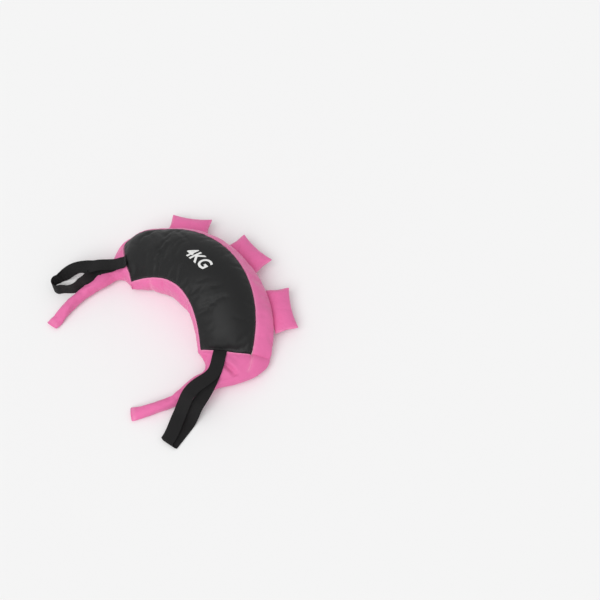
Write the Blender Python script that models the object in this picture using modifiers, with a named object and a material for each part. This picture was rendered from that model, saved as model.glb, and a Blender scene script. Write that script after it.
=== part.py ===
"""Bulgarian bag: a crescent of filled cloth that lies flat, with its grips.

The bag lies on its base panel. The origin is on the underside, below the middle of the
crescent. +Y points away from the hollow of the crescent, +X to the right arm, +Z up.
The two tails are the main grips, the loops are webbing, and three padded tabs stand
out from the outer wall.
"""
import bpy
import bmesh
from math import cos, pi, radians, sin
from mathutils import Matrix, Vector

# Lengths in metres, angles in degrees

# Crescent, measured along the middle line of the bag
PANEL_HALF_LENGTH = 0.249
BEND_RADIUS_MIDDLE = 0.235
BEND_RADIUS_END = 0.418
PANEL_WIDTH_MIDDLE = 0.190
PANEL_WIDTH_END = 0.150
SEAM_HEIGHT_MIDDLE = 0.128
SEAM_HEIGHT_END = 0.050
CROWN_MIDDLE = 0.032
CROWN_END = 0.022
INNER_BULGE = 0.011
BASE_OUTSET = 0.014
BASE_INSET = 0.010

# The bag has slumped towards its right arm, so the outer wall bulges most there
OUTER_BULGE_LEFT = 0.010
OUTER_BULGE_MIDDLE = 0.026
OUTER_BULGE_RIGHT = 0.044

# Cloth ends that narrow to the mouth where each tail is sewn in. The right one is fuller
END_LENGTH_LEFT = 0.072
END_LENGTH_RIGHT = 0.100
END_TURN_LEFT = 34.0
END_TURN_RIGHT = 47.0
END_BLUNTNESS_LEFT = 0.7
END_BLUNTNESS_RIGHT = 1.0

# Sheets and clearances
COVER_THICKNESS = 0.0015
LINER_THICKNESS = 0.0010
GAP = 0.0003
SOFT_GAP = 0.0005
END_SLACK = 0.0015

# Tails
TAIL_LENGTH = 0.218
TAIL_ROOT_RADIUS_LEFT = 0.030
TAIL_ROOT_RADIUS_RIGHT = 0.035
TAIL_ROOT_HALF_HEIGHT = 0.024
TAIL_GRIP_RADIUS = 0.0165
TAIL_TIP_HALF_WIDTH = 0.0175
TAIL_TIP_HALF_HEIGHT = 0.006
TAIL_TAPER_LENGTH = 0.110
TAIL_TURN_RIGHT = 26.0
TAIL_TURN_LEFT = 16.0
FLOOR_CLEARANCE = 0.0005
TAIL_CLEARANCE = 0.0007
TAIL_SEAT_ANGLE = 20.0
TAIL_HOLE_ANGLE = 25.0

# Webbing loops
WEBBING_WIDTH = 0.038
WEBBING_THICKNESS = 0.0016
LOOP_REACH_RIGHT = 0.298
LOOP_REACH_LEFT = 0.240
LOOP_ROOT_GAP = 0.0008
LOOP_SET_IN = 0.014
LOOP_TIP_RADIUS = 0.004
LOOP_CLEARANCE = 0.002
LOOP_LANDING = 0.225
LOOP_TURN_RIGHT = 27.0
LOOP_TURN_LEFT = 10.0
LOOP_OPENING_RIGHT = 0.016
LOOP_OPENING_LEFT = 0.040

# Padded tabs. The outer two sit about this share of the way from the middle to the
# panel's ends, and all three this share of the way down the outer wall. The cover has
# crept towards the right arm, and the tabs with it
TAB_PLACE_SHARE = 0.55
TAB_SHIFT = 0.012
TAB_DROP_SHARE = 2.0 / 3.0
TAB_LENGTH = 0.128
TAB_DEPTH = 0.064
TAB_THICKNESS = 0.020
TAB_EDGE_THICKNESS = 0.008
TAB_ROOT_RADIUS = 0.006
TAB_SLIT = 0.004
TAB_CORNER_DRAW = 0.006

# How finely the cloth is divided
PANEL_STATIONS = 23
END_STATIONS = 6
TOP_STEPS = 8
WALL_STEPS = 6
BASE_STEPS = 4
WALK_STEPS = 60
TAIL_SIDES = 12
TAIL_STATIONS = 12
DOME_STATIONS = 4
LOOP_STATIONS = 20
FOLD_STATIONS = 5
TAB_STATIONS = 8
TAB_SIDE_STEPS = 6

# Mouth outline: where its four corners lie round the ellipse, in degrees from +v
MOUTH_CORNERS = (135.0, 45.0, -40.0, -140.0)

COLOURS = {
    "black_leather": ((0.020, 0.021, 0.022), 0.45),
    "pink_nylon": ((0.80, 0.17, 0.43), 0.62),
    "black_webbing": ((0.012, 0.012, 0.013), 0.80),
    "black_base": ((0.018, 0.018, 0.020), 0.70),
    "liner_cloth": ((0.62, 0.60, 0.55), 0.85),
    "granules": ((0.42, 0.36, 0.28), 0.90),
    "foam": ((0.78, 0.76, 0.70), 0.90),
}


def clear_scene():
    """Empty the scene, so the script gives the same result from any start."""
    for thing in list(bpy.data.objects):
        bpy.data.objects.remove(thing, do_unlink=True)


def material(name):
    """The Principled material of one cloth, made the first time it is asked for."""
    found = bpy.data.materials.get(name)
    if found:
        return found
    colour, roughness = COLOURS[name]
    made = bpy.data.materials.new(name)
    made.use_nodes = True
    shader = made.node_tree.nodes["Principled BSDF"]
    shader.inputs["Base Color"].default_value = (*colour, 1.0)
    shader.inputs["Roughness"].default_value = roughness
    shader.inputs["Metallic"].default_value = 0.0
    return made


def mix(a, b, share):
    return a + (b - a) * share


def smooth(share):
    """0 to 1 with a flat start and a flat end."""
    share = min(max(share, 0.0), 1.0)
    return share * share * (3.0 - 2.0 * share)


# What differs between the two arms

def end_length(s):
    return END_LENGTH_LEFT if s < 0.0 else END_LENGTH_RIGHT


def past_panel(s):
    """0 up to the black panel's end, then up to 1 at the mouth."""
    return max((abs(s) - PANEL_HALF_LENGTH) / end_length(s), 0.0)


def root_radius(s):
    return TAIL_ROOT_RADIUS_LEFT if s < 0.0 else TAIL_ROOT_RADIUS_RIGHT


def outer_bulge(s):
    end = OUTER_BULGE_LEFT if s < 0.0 else OUTER_BULGE_RIGHT
    return mix(OUTER_BULGE_MIDDLE, end, smooth(abs(s) / PANEL_HALF_LENGTH))


# The middle line of the bag, seen from above

def heading(s):
    """Angle in radians that the middle line has turned at distance s from the middle."""
    reach = min(abs(s), PANEL_HALF_LENGTH)
    end_change = 1.0 / BEND_RADIUS_END - 1.0 / BEND_RADIUS_MIDDLE
    turned = reach / BEND_RADIUS_MIDDLE + end_change * reach ** 3 / (3.0 * PANEL_HALF_LENGTH ** 2)
    end_turn = END_TURN_LEFT if s < 0.0 else END_TURN_RIGHT
    turned += radians(end_turn) * min(past_panel(s), 1.0)
    return turned if s >= 0.0 else -turned


def middle_line(s):
    """Point of the middle line, found by walking along its headings."""
    x = y = 0.0
    step = s / WALK_STEPS
    for k in range(WALK_STEPS):
        angle = heading(step * (k + 0.5))
        x += step * cos(angle)
        y -= step * sin(angle)
    return Vector((x, y, 0.0))


def outward(s):
    angle = heading(s)
    return Vector((sin(angle), cos(angle), 0.0))


def place(s, v, z):
    """World point at distance s along the bag, v outward from the middle line, z up."""
    return middle_line(s) + outward(s) * v + Vector((0.0, 0.0, z))


# The closed outline of one cross-section, as (v, z) points

def seam_height(s):
    share = min(abs(s) / PANEL_HALF_LENGTH, 1.0) ** 2
    return mix(SEAM_HEIGHT_MIDDLE, SEAM_HEIGHT_END, share)


def panel_half_width(s):
    share = min(abs(s) / PANEL_HALF_LENGTH, 1.0) ** 2
    return mix(PANEL_WIDTH_MIDDLE, PANEL_WIDTH_END, share) / 2.0


def crown(s):
    share = min(abs(s) / PANEL_HALF_LENGTH, 1.0) ** 2
    return mix(CROWN_MIDDLE, CROWN_END, share)


def outer_wall(s, t):
    """Point of the outer wall: t is 0 at the top seam and 1 at the base seam."""
    width = panel_half_width(s)
    return (width + BASE_OUTSET * t + outer_bulge(s) * sin(pi * t), seam_height(s) * (1.0 - t))


def inner_wall(s, t):
    width = panel_half_width(s)
    return (-width + BASE_INSET * t - INNER_BULGE * sin(pi * t), seam_height(s) * (1.0 - t))


def panel_outline(s):
    """Outline where the black panel is: over the top, down, under the base and up."""
    width = panel_half_width(s)
    points = []
    for k in range(TOP_STEPS):
        across = mix(-1.0, 1.0, k / TOP_STEPS)
        points.append((width * across, seam_height(s) + crown(s) * (1.0 - across * across)))
    points += [outer_wall(s, k / WALL_STEPS) for k in range(WALL_STEPS)]
    start, end = outer_wall(s, 1.0)[0], inner_wall(s, 1.0)[0]
    points += [(mix(start, end, k / BASE_STEPS), 0.0) for k in range(BASE_STEPS)]
    points += [inner_wall(s, 1.0 - k / WALL_STEPS) for k in range(WALL_STEPS)]
    return points


def mouth_size(s):
    """Half width and half height of the mouth, which the tail's round root fills."""
    seat = radians(TAIL_SEAT_ANGLE)
    added = TAIL_CLEARANCE + COVER_THICKNESS
    return root_radius(s) * cos(seat) + added, TAIL_ROOT_HALF_HEIGHT * cos(seat) + added


def mouth_outline(s):
    """The same number of points as a panel outline, round the ellipse of the mouth."""
    half_width, half_height = mouth_size(s)
    middle = tail_centre_height(0.0)
    counts = (TOP_STEPS, WALL_STEPS, BASE_STEPS, WALL_STEPS)
    ends = MOUTH_CORNERS[1:] + (MOUTH_CORNERS[0] - 360.0,)
    points = []
    for start, end, count in zip(MOUTH_CORNERS, ends, counts):
        for k in range(count):
            angle = radians(mix(start, end, k / count))
            points.append((half_width * cos(angle), middle + half_height * sin(angle)))
    return points


def outline(s):
    """Outline at distance s. Past the black panel it narrows to the mouth."""
    past = min(past_panel(s), 1.0)
    if past <= 0.0:
        return panel_outline(s)
    bluntness = END_BLUNTNESS_LEFT if s < 0.0 else END_BLUNTNESS_RIGHT
    narrowing = smooth(past ** bluntness)
    sinking = 1.0 - (1.0 - past) ** 2
    body, mouth = panel_outline(s), mouth_outline(s)
    return [(mix(a[0], b[0], narrowing), mix(a[1], b[1], sinking)) for a, b in zip(body, mouth)]


def inset(points, depth):
    """The outline moved inward by depth, each corner along its own bisector."""
    count = len(points)
    moved = []
    for k in range(count):
        here = Vector(points[k])
        before = (here - Vector(points[k - 1])).normalized()
        after = (Vector(points[(k + 1) % count]) - here).normalized()
        inward = Vector((before.y + after.y, -before.x - after.x)).normalized()
        lean = inward.dot(Vector((before.y, -before.x)))
        moved.append(here + inward * depth / lean)
    return moved


# Meshes

def new_object(name, mesh, cloth, origin=None):
    """Object in the bag's collection, with its own material and its origin where it turns."""
    if origin is not None:
        mesh.transform(Matrix.Translation(-origin))
    mesh.materials.append(material(cloth))
    made = bpy.data.objects.new(name, mesh)
    if origin is not None:
        made.location = origin
    bpy.data.collections["bulgarian_bag"].objects.link(made)
    return made


def add_skin(bm, rows, ring, flip=False, loop=False):
    """Triangles over a grid of vertices, cut the same way in every layer of cloth."""
    last = len(rows) if loop else len(rows) - 1
    for i in range(last):
        here, there = rows[i], rows[(i + 1) % len(rows)]
        for j in range(len(here) if ring else len(here) - 1):
            k = (j + 1) % len(here)
            for corners in ((here[j], there[j], there[k]), (here[j], there[k], here[k])):
                bm.faces.new(corners[::-1] if flip else corners)


def add_rim(bm, first, second, ring):
    """Faces that join two rows of vertices."""
    for j in range(len(first) if ring else len(first) - 1):
        k = (j + 1) % len(first)
        bm.faces.new((first[j], first[k], second[k], second[j]))


def vertices(bm, grid):
    return [[bm.verts.new(point) for point in row] for row in grid]


def finish_mesh(name, bm):
    bmesh.ops.recalc_face_normals(bm, faces=bm.faces)
    if bm.calc_volume(signed=True) < 0.0:
        bmesh.ops.reverse_faces(bm, faces=bm.faces)
    mesh = bpy.data.meshes.new(name)
    bm.to_mesh(mesh)
    bm.free()
    mesh.shade_smooth()
    mesh.set_sharp_from_angle(angle=radians(40.0))
    return mesh


def sheet(name, outer, inner, cloth):
    """A strip of cloth between two matching grids, with its four edges closed."""
    bm = bmesh.new()
    out_rows, in_rows = vertices(bm, outer), vertices(bm, inner)
    add_skin(bm, out_rows, ring=False)
    add_skin(bm, in_rows, ring=False, flip=True)
    for edge in (0, -1):
        add_rim(bm, out_rows[edge], in_rows[edge], ring=False)
        add_rim(bm, [row[edge] for row in out_rows], [row[edge] for row in in_rows], ring=False)
    return new_object(name, finish_mesh(name, bm), cloth)


def tube(name, outer, inner, cloth, closed_start=False):
    """A tube of cloth between two matching grids of rings, closed at its start if asked."""
    bm = bmesh.new()
    out_rows, in_rows = vertices(bm, outer), vertices(bm, inner)
    add_skin(bm, out_rows, ring=True)
    add_skin(bm, in_rows, ring=True, flip=True)
    add_rim(bm, out_rows[-1], in_rows[-1], ring=True)
    if closed_start:
        bm.faces.new(out_rows[0])
        bm.faces.new(in_rows[0])
    else:
        add_rim(bm, out_rows[0], in_rows[0], ring=True)
    return new_object(name, finish_mesh(name, bm), cloth)


def lump(name, grid, cloth, origin=None):
    """A solid filling lofted through rings, closed at both ends."""
    bm = bmesh.new()
    rows = vertices(bm, grid)
    add_skin(bm, rows, ring=True)
    bm.faces.new(rows[0])
    bm.faces.new(rows[-1])
    return new_object(name, finish_mesh(name, bm), cloth, origin)


def even_steps(start, end, count):
    return [mix(start, end, k / count) for k in range(count + 1)]


def mouth_place(sign):
    """Distance along the bag at which one of its two mouths lies."""
    return sign * (PANEL_HALF_LENGTH + end_length(sign))


def body_stations():
    """Distances of all cross-sections, from the left mouth to the right one."""
    panel = even_steps(-PANEL_HALF_LENGTH, PANEL_HALF_LENGTH, PANEL_STATIONS)
    left = even_steps(mouth_place(-1.0), -PANEL_HALF_LENGTH, END_STATIONS)[:-1]
    right = even_steps(PANEL_HALF_LENGTH, mouth_place(1.0), END_STATIONS)[1:]
    return left + panel + right


def ring_at(s, depth, slack):
    """Ring of one layer. Slack draws it further in past the panel, where the bag narrows."""
    drawn = depth + slack * smooth(END_STATIONS * past_panel(s) / 2.0)
    return [place(s, v, z) for v, z in inset(outline(s), drawn)]


def body_grid(depth, start, end, slack=0.0):
    """Rings of the whole body at one depth, cut off flush at start and end."""
    found = [(s, ring_at(s, depth, slack)) for s in body_stations()]
    grid = []
    for (s, ring), (t, following) in zip(found, found[1:]):
        if t <= start or s >= end:
            continue
        first = max((start - s) / (t - s), 0.0)
        last = min((end - s) / (t - s), 1.0)
        if not grid:
            grid.append([a.lerp(b, first) for a, b in zip(ring, following)])
        grid.append([a.lerp(b, last) for a, b in zip(ring, following)])
    return grid


# Body of the bag

def strip(grid, first, last):
    """One strip of each ring, held back from the seams on both sides."""
    found = []
    for ring in grid:
        part = [ring[k % len(ring)] for k in range(first, last + 1)]
        start = part[0] + (part[1] - part[0]).normalized() * GAP
        end = part[-1] + (part[-2] - part[-1]).normalized() * GAP
        found.append([start] + part[1:-1] + [end])
    return found


def build_covers():
    """Top panel, both walls and the base panel, four strips that meet at the seams."""
    reach = PANEL_HALF_LENGTH - GAP / 2.0
    outer = body_grid(0.0, -reach, reach)
    inner = body_grid(COVER_THICKNESS, -reach, reach)
    outer_start = TOP_STEPS
    base_start = outer_start + WALL_STEPS
    inner_start = base_start + BASE_STEPS
    strips = (
        ("top_panel", 0, outer_start, "black_leather"),
        ("outer_gusset", outer_start, base_start, "pink_nylon"),
        ("base_panel", base_start, inner_start, "black_base"),
        ("inner_gusset", inner_start, inner_start + WALL_STEPS, "pink_nylon"),
    )
    for name, first, last, cloth in strips:
        sheet(name, strip(outer, first, last), strip(inner, first, last), cloth)


def build_end_section(side, sign):
    """Cloth end that carries on from the black panel and narrows to the tail."""
    near = sign * (PANEL_HALF_LENGTH + GAP / 2.0)
    far = mouth_place(sign)
    start, end = min(near, far), max(near, far)
    outer = body_grid(0.0, start, end)
    inner = body_grid(COVER_THICKNESS, start, end)
    tube(side + "_end_section", outer, inner, "pink_nylon")


def inside_reach(sign):
    """How far the liner goes on one side: up to the round root of the tail."""
    dome_depth = root_radius(sign) * (1.0 - sin(radians(TAIL_SEAT_ANGLE)))
    return mouth_place(sign) - sign * (dome_depth + SOFT_GAP)


def build_inside():
    """Liner sack, open at its right end, and the filling in it."""
    start, end = inside_reach(-1.0), inside_reach(1.0)
    depth = COVER_THICKNESS + GAP
    sack = body_grid(depth, start, end, END_SLACK)
    depth += LINER_THICKNESS
    start += LINER_THICKNESS
    hollow = body_grid(depth, start, end, END_SLACK)
    tube("inner_bag", sack, hollow, "liner_cloth", closed_start=True)
    depth += GAP
    fill = body_grid(depth, start + SOFT_GAP, end - GAP, 2.0 * END_SLACK)
    lump("filling", fill, "granules")


# Tails

def tail_half_height(a):
    """Half height of the tail at distance a past the line it turns on."""
    if a <= 0.0:
        return TAIL_ROOT_HALF_HEIGHT
    grip = mix(TAIL_ROOT_HALF_HEIGHT, TAIL_GRIP_RADIUS, smooth(a / TAIL_TAPER_LENGTH))
    flat = smooth((a - TAIL_LENGTH + TAIL_TAPER_LENGTH) / TAIL_TAPER_LENGTH) ** 2
    return mix(grip, TAIL_TIP_HALF_HEIGHT, flat)


def tail_half_width(sign, a):
    grip = mix(root_radius(sign), TAIL_GRIP_RADIUS, smooth(a / TAIL_TAPER_LENGTH))
    flat = smooth((a - TAIL_LENGTH + TAIL_TAPER_LENGTH) / TAIL_TAPER_LENGTH) ** 2
    return mix(grip, TAIL_TIP_HALF_WIDTH, flat)


def tail_centre_height(a):
    return tail_half_height(a) + FLOOR_CLEARANCE


def tail_axis(sign):
    """Point on the line that a tail turns on, just past the mouth."""
    past = root_radius(sign) * sin(radians(TAIL_SEAT_ANGLE))
    return middle_line(mouth_place(sign)) + tail_heading(sign, 0.0, 0.0) * past


def tail_heading(sign, a, turn):
    """Direction of the tail at distance a: it starts along the mouth and bends inward."""
    start = abs(heading(mouth_place(sign)))
    angle = start + radians(turn) * max(a, 0.0) / TAIL_LENGTH
    return Vector((sign * cos(angle), -sin(angle), 0.0))


def tail_point(sign, a, turn):
    point = tail_axis(sign)
    step = a / WALK_STEPS
    for k in range(WALK_STEPS):
        point = point + tail_heading(sign, step * (k + 0.5), turn) * step
    return point


def tail_ring(sign, a, turn, half_width, half_height, centre_height):
    middle = tail_point(sign, a, turn) + Vector((0.0, 0.0, centre_height))
    across = tail_heading(sign, a, turn).cross(Vector((0.0, 0.0, 1.0)))
    ring = []
    for k in range(TAIL_SIDES):
        angle = 2.0 * pi * k / TAIL_SIDES
        ring.append(middle + across * half_width * cos(angle)
                    + Vector((0.0, 0.0, half_height * sin(angle))))
    return ring


def tail_rings(sign, turn, depth, start_angle, end_setback):
    """Rings from the round root to the flat tip, all inside the cloth by depth."""
    grid = []
    for k in range(DOME_STATIONS):
        angle = radians(mix(start_angle, 90.0, k / DOME_STATIONS))
        half_width = (root_radius(sign) - depth) * sin(angle)
        half_height = (TAIL_ROOT_HALF_HEIGHT - depth) * sin(angle)
        along = -(root_radius(sign) - depth) * cos(angle)
        grid.append(tail_ring(sign, along, turn, half_width, half_height, tail_centre_height(0.0)))
    for a in even_steps(0.0, TAIL_LENGTH - end_setback, TAIL_STATIONS):
        grid.append(tail_ring(sign, a, turn, tail_half_width(sign, a) - depth,
                              tail_half_height(a) - depth, tail_centre_height(a)))
    return grid


def build_tail(side, sign, turn):
    """Sleeve closed at its tip and open at its root, and the stuffed core inside it."""
    axis = tail_axis(sign)
    outer = tail_rings(sign, turn, 0.0, TAIL_HOLE_ANGLE, 0.0)
    bm = bmesh.new()
    rows = vertices(bm, outer)
    add_skin(bm, rows, ring=True)
    bm.faces.new(rows[-1])
    name = side + "_tail_sleeve"
    sleeve = new_object(name, finish_mesh(name, bm), "pink_nylon", axis)
    wall = sleeve.modifiers.new("cloth", "SOLIDIFY")
    wall.thickness = COVER_THICKNESS
    wall.offset = -1.0
    depth = COVER_THICKNESS + SOFT_GAP
    core = tail_rings(sign, turn, depth, TAIL_HOLE_ANGLE, depth)
    lump(side + "_tail_core", core, "foam", axis)


# Webbing loops

def loop_root(sign):
    """Point in the middle of the loop's root, just past the seam and a little inward."""
    fold_radius = WEBBING_THICKNESS + LOOP_ROOT_GAP / 2.0
    height = lying_height(sign, fold_radius) + fold_radius + SOFT_GAP
    start = place(sign * PANEL_HALF_LENGTH, -LOOP_SET_IN, height)
    return start + loop_heading(sign, 0.0, 0.0) * (fold_radius + SOFT_GAP)


def loop_heading(sign, share, turn):
    """Direction of the loop, seen from above: it leaves the seam and bends to the tail."""
    angle = heading(PANEL_HALF_LENGTH) + radians(turn) * smooth(2.0 * share)
    return Vector((sign * cos(angle), -sin(angle), 0.0))


def lying_height(sign, along):
    """Height of what lies under the loop: the cloth end, then the tail, then the floor."""
    root_reach = end_length(sign) + root_radius(sign) * sin(radians(TAIL_SEAT_ANGLE))
    end_top = SEAM_HEIGHT_END + CROWN_END
    tail_top = tail_centre_height(0.0) + TAIL_ROOT_HALF_HEIGHT
    if along < end_length(sign):
        share = 1.0 - (1.0 - along / end_length(sign)) ** 2
        return mix(end_top, tail_top, share)
    past = along - root_reach
    if past < TAIL_TAPER_LENGTH / 2.0:
        return tail_centre_height(past) + tail_half_height(past)
    held = TAIL_TAPER_LENGTH / 2.0
    top = tail_centre_height(held) + tail_half_height(held)
    share = (past - held) / (LOOP_LANDING - root_reach - held)
    return mix(top, 0.0, smooth(share))


def loop_lower(sign, turn, reach):
    """Points along the loop's lower layer and their plan directions."""
    here = loop_root(sign)
    layer = here.z - (WEBBING_THICKNESS + LOOP_ROOT_GAP) / 2.0
    step = reach / LOOP_STATIONS
    found = []
    for k in range(LOOP_STATIONS + 1):
        share = k / LOOP_STATIONS
        direction = loop_heading(sign, share, turn)
        lying = lying_height(sign, k * step) + LOOP_CLEARANCE + WEBBING_THICKNESS / 2.0
        found.append((Vector((here.x, here.y, lying if k else layer)), direction))
        here = here + direction * step
    return found


def loop_path(sign, turn, reach, opening):
    """Closed path of the webbing: out along the lower layer, round the tip and back."""
    lower = loop_lower(sign, turn, reach)
    apart = WEBBING_THICKNESS + LOOP_ROOT_GAP
    up = Vector((0.0, 0.0, 1.0))
    upper = []
    for k, (point, direction) in enumerate(lower):
        share = k / LOOP_STATIONS
        rise = mix(apart, 2.0 * LOOP_TIP_RADIUS, share) + opening * sin(pi * share ** 1.2) ** 1.5
        upper.append((point + up * rise, direction))
    tip, direction = lower[-1]
    fold = []
    for k in range(1, FOLD_STATIONS):
        angle = pi * k / FOLD_STATIONS
        offset = direction * sin(angle) + up * (1.0 - cos(angle))
        fold.append((tip + offset * LOOP_TIP_RADIUS, direction))
    root, direction = lower[0]
    turn_back = []
    for k in range(1, FOLD_STATIONS - 1):
        angle = pi * k / (FOLD_STATIONS - 1)
        offset = up * (1.0 + cos(angle)) - direction * sin(angle)
        turn_back.append((root + offset * apart / 2.0, direction))
    return lower + fold + upper[::-1] + turn_back


def build_loop(side, sign, turn, reach, opening):
    """Webbing swept round its closed path, flat across its width."""
    path = loop_path(sign, turn, reach, opening)
    count = len(path)
    rows = []
    for k, (point, direction) in enumerate(path):
        travel = (path[(k + 1) % count][0] - path[k - 1][0]).normalized()
        across = direction.cross(Vector((0.0, 0.0, 1.0))).normalized()
        normal = travel.cross(across).normalized()
        half_width, half_thickness = WEBBING_WIDTH / 2.0, WEBBING_THICKNESS / 2.0
        rows.append([point + across * half_width * x + normal * half_thickness * y
                     for x, y in ((1, 1), (-1, 1), (-1, -1), (1, -1))])
    bm = bmesh.new()
    add_skin(bm, vertices(bm, rows), ring=True, loop=True)
    name = side + "_strap_loop"
    new_object(name, finish_mesh(name, bm), "black_webbing", loop_root(sign))


# Padded tabs

def tab_line(s):
    """Point of the outer wall at the height where the tabs are sewn on."""
    v, z = outer_wall(s, TAB_DROP_SHARE)
    return place(s, v, z)


def tab_place(sign):
    """Distance of a tab from the middle, moved to the nearest cross-section."""
    spacing = 2.0 * PANEL_HALF_LENGTH / PANEL_STATIONS
    wanted = sign * PANEL_HALF_LENGTH * TAB_PLACE_SHARE + TAB_SHIFT
    return round((wanted + PANEL_HALF_LENGTH) / spacing) * spacing - PANEL_HALF_LENGTH


def slit_angle(root):
    """Half of the slit, as the angle it takes up round the tab's root."""
    return TAB_SLIT / 2.0 / root


def tab_frame(s):
    """Matrix whose X runs along the tab's root, Y out from the wall and Z up."""
    half = TAB_LENGTH / 2.0
    along = (tab_line(s + half) - tab_line(s - half)).normalized()
    out = Vector((0.0, 0.0, 1.0)).cross(along).normalized()
    up = along.cross(out)
    root = tab_line(s) + out * (TAB_ROOT_RADIUS + GAP)
    frame = Matrix((along, out, up)).transposed().to_4x4()
    return Matrix.Translation(root) @ frame


def tab_outline(x, shrink, slit):
    """Closed section of a tab at distance x from its middle, from lip to lip of the slit."""
    half_length = TAB_LENGTH / 2.0 - shrink
    end = min(abs(x) / half_length, 1.0)
    fullness = (1.0 - end ** 4) ** 0.5
    edge = TAB_EDGE_THICKNESS / 2.0 - shrink
    middle = mix(edge, TAB_THICKNESS / 2.0 - shrink, fullness)
    depth = TAB_DEPTH - shrink + TAB_CORNER_DRAW * (end ** 3 - 1.0)
    root = TAB_ROOT_RADIUS - shrink
    lips = []
    start = slit_angle(root) if slit else 0.0
    for k in range(TAB_SIDE_STEPS // 2 + 1):
        angle = mix(start, pi / 2.0, k / (TAB_SIDE_STEPS // 2))
        lips.append((-root * cos(angle), mix(edge, root, fullness) * sin(angle)))
    side = []
    for k in range(1, TAB_SIDE_STEPS + 1):
        share = k / TAB_SIDE_STEPS
        swell = mix(root, middle, smooth(2.0 * share))
        thick = mix(swell, edge, smooth(2.0 * share - 1.0))
        thick = mix(edge, thick, fullness)
        side.append((depth * share, thick))
    upper = lips + side
    if not slit:
        upper = upper[1:]
        return [(-root, 0.0)] + upper + [(y, -z) for y, z in reversed(upper)]
    return upper + [(y, -z) for y, z in reversed(upper)]


def build_tab(name, s):
    """Sleeve with its slit at the wall, and the foam pad inside it."""
    frame = tab_frame(s)
    origin = frame.to_translation()
    half = TAB_LENGTH / 2.0
    bm = bmesh.new()
    grid = [[frame @ Vector((x, y, z)) for y, z in tab_outline(x, 0.0, True)]
            for x in even_steps(-half, half, TAB_STATIONS)]
    rows = vertices(bm, grid)
    add_skin(bm, rows, ring=False)
    bm.faces.new(rows[0])
    bm.faces.new(rows[-1])
    sleeve = new_object(name + "_sleeve", finish_mesh(name + "_sleeve", bm), "pink_nylon", origin)
    wall = sleeve.modifiers.new("cloth", "SOLIDIFY")
    wall.thickness = COVER_THICKNESS
    wall.offset = -1.0
    shrink = COVER_THICKNESS + SOFT_GAP
    pad = [[frame @ Vector((x, y, z)) for y, z in tab_outline(x, shrink, False)]
           for x in even_steps(-half + shrink, half - shrink, TAB_STATIONS)]
    lump(name + "_pad", pad, "foam", origin)


def build():
    clear_scene()
    if "bulgarian_bag" not in bpy.data.collections:
        bpy.context.scene.collection.children.link(bpy.data.collections.new("bulgarian_bag"))
    build_covers()
    build_inside()
    build_end_section("left", -1.0)
    build_end_section("right", 1.0)
    build_tail("left", -1.0, TAIL_TURN_LEFT)
    build_tail("right", 1.0, TAIL_TURN_RIGHT)
    build_loop("left", -1.0, LOOP_TURN_LEFT, LOOP_REACH_LEFT, LOOP_OPENING_LEFT)
    build_loop("right", 1.0, LOOP_TURN_RIGHT, LOOP_REACH_RIGHT, LOOP_OPENING_RIGHT)
    build_tab("left_tab", tab_place(-1.0))
    build_tab("middle_tab", tab_place(0.0))
    build_tab("right_tab", tab_place(1.0))


build()
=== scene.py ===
# %% [markdown]
# A bulgarian bag is a crescent of strong cloth, filled with fibre and granules, that lies
# across the shoulders or swings from its two stuffed tails. This lesson dresses its plain
# working model: every cloth part gets its sewn shape, its seams and its finish. The frame
# comes first, because it holds the pieces, their joints and the box that all must stay in.

# %% Load the frame
from math import cos, pi, radians, sin

import bmesh
import bpy
import numpy as np
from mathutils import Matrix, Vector
from mathutils.bvhtree import BVHTree
from mathutils.kdtree import KDTree


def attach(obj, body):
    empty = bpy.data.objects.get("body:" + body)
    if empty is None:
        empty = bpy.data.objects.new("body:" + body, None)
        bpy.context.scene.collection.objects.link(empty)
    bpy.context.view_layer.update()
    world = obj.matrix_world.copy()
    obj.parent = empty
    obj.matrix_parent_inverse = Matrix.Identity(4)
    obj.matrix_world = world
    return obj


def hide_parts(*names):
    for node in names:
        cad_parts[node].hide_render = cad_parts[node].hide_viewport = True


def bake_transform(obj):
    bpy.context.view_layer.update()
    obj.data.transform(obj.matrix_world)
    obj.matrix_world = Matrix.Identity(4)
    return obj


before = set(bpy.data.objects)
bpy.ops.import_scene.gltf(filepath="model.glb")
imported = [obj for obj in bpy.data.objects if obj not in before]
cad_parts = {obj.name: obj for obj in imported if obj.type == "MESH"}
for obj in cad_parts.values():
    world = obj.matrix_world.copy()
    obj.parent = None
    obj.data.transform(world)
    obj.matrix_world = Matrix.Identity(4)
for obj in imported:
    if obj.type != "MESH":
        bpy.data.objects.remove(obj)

bpy.context.view_layer.update()

# %% [markdown]
# The camera stands where the photographer stood: high in front of the right arm, looking
# down steeply with a fairly long lens. The floor is pale and plain. Studio light for dark
# and pink cloth together must be soft, or the black loses its folds and the pink burns out,
# so a wide lamp does the modelling and an even sky fills the rest.

# %% Camera
CAMERA_PLACE = (1.171, -0.772, 2.320)
CAMERA_TILT = 30.0
CAMERA_TURN = 45.14
LENS = 54.0
SENSOR = 36.0


def place_camera():
    lens = bpy.data.cameras.new("camera")
    lens.lens = LENS
    lens.sensor_width = SENSOR
    camera = bpy.data.objects.new("camera", lens)
    camera.location = CAMERA_PLACE
    camera.rotation_euler = [radians(a) for a in (CAMERA_TILT, 0.0, CAMERA_TURN)]
    bpy.context.scene.collection.objects.link(camera)
    bpy.context.scene.camera = camera


place_camera()
print("camera at", CAMERA_PLACE, "lens", LENS, "mm")

# %% Light
BACKGROUND = 0.905
SKY_LEVEL = 0.62
KEY_LEVEL = 1.55
KEY_SOFTNESS = 50.0
KEY_TILT = (38.0, 0.0, 20.0)


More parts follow.
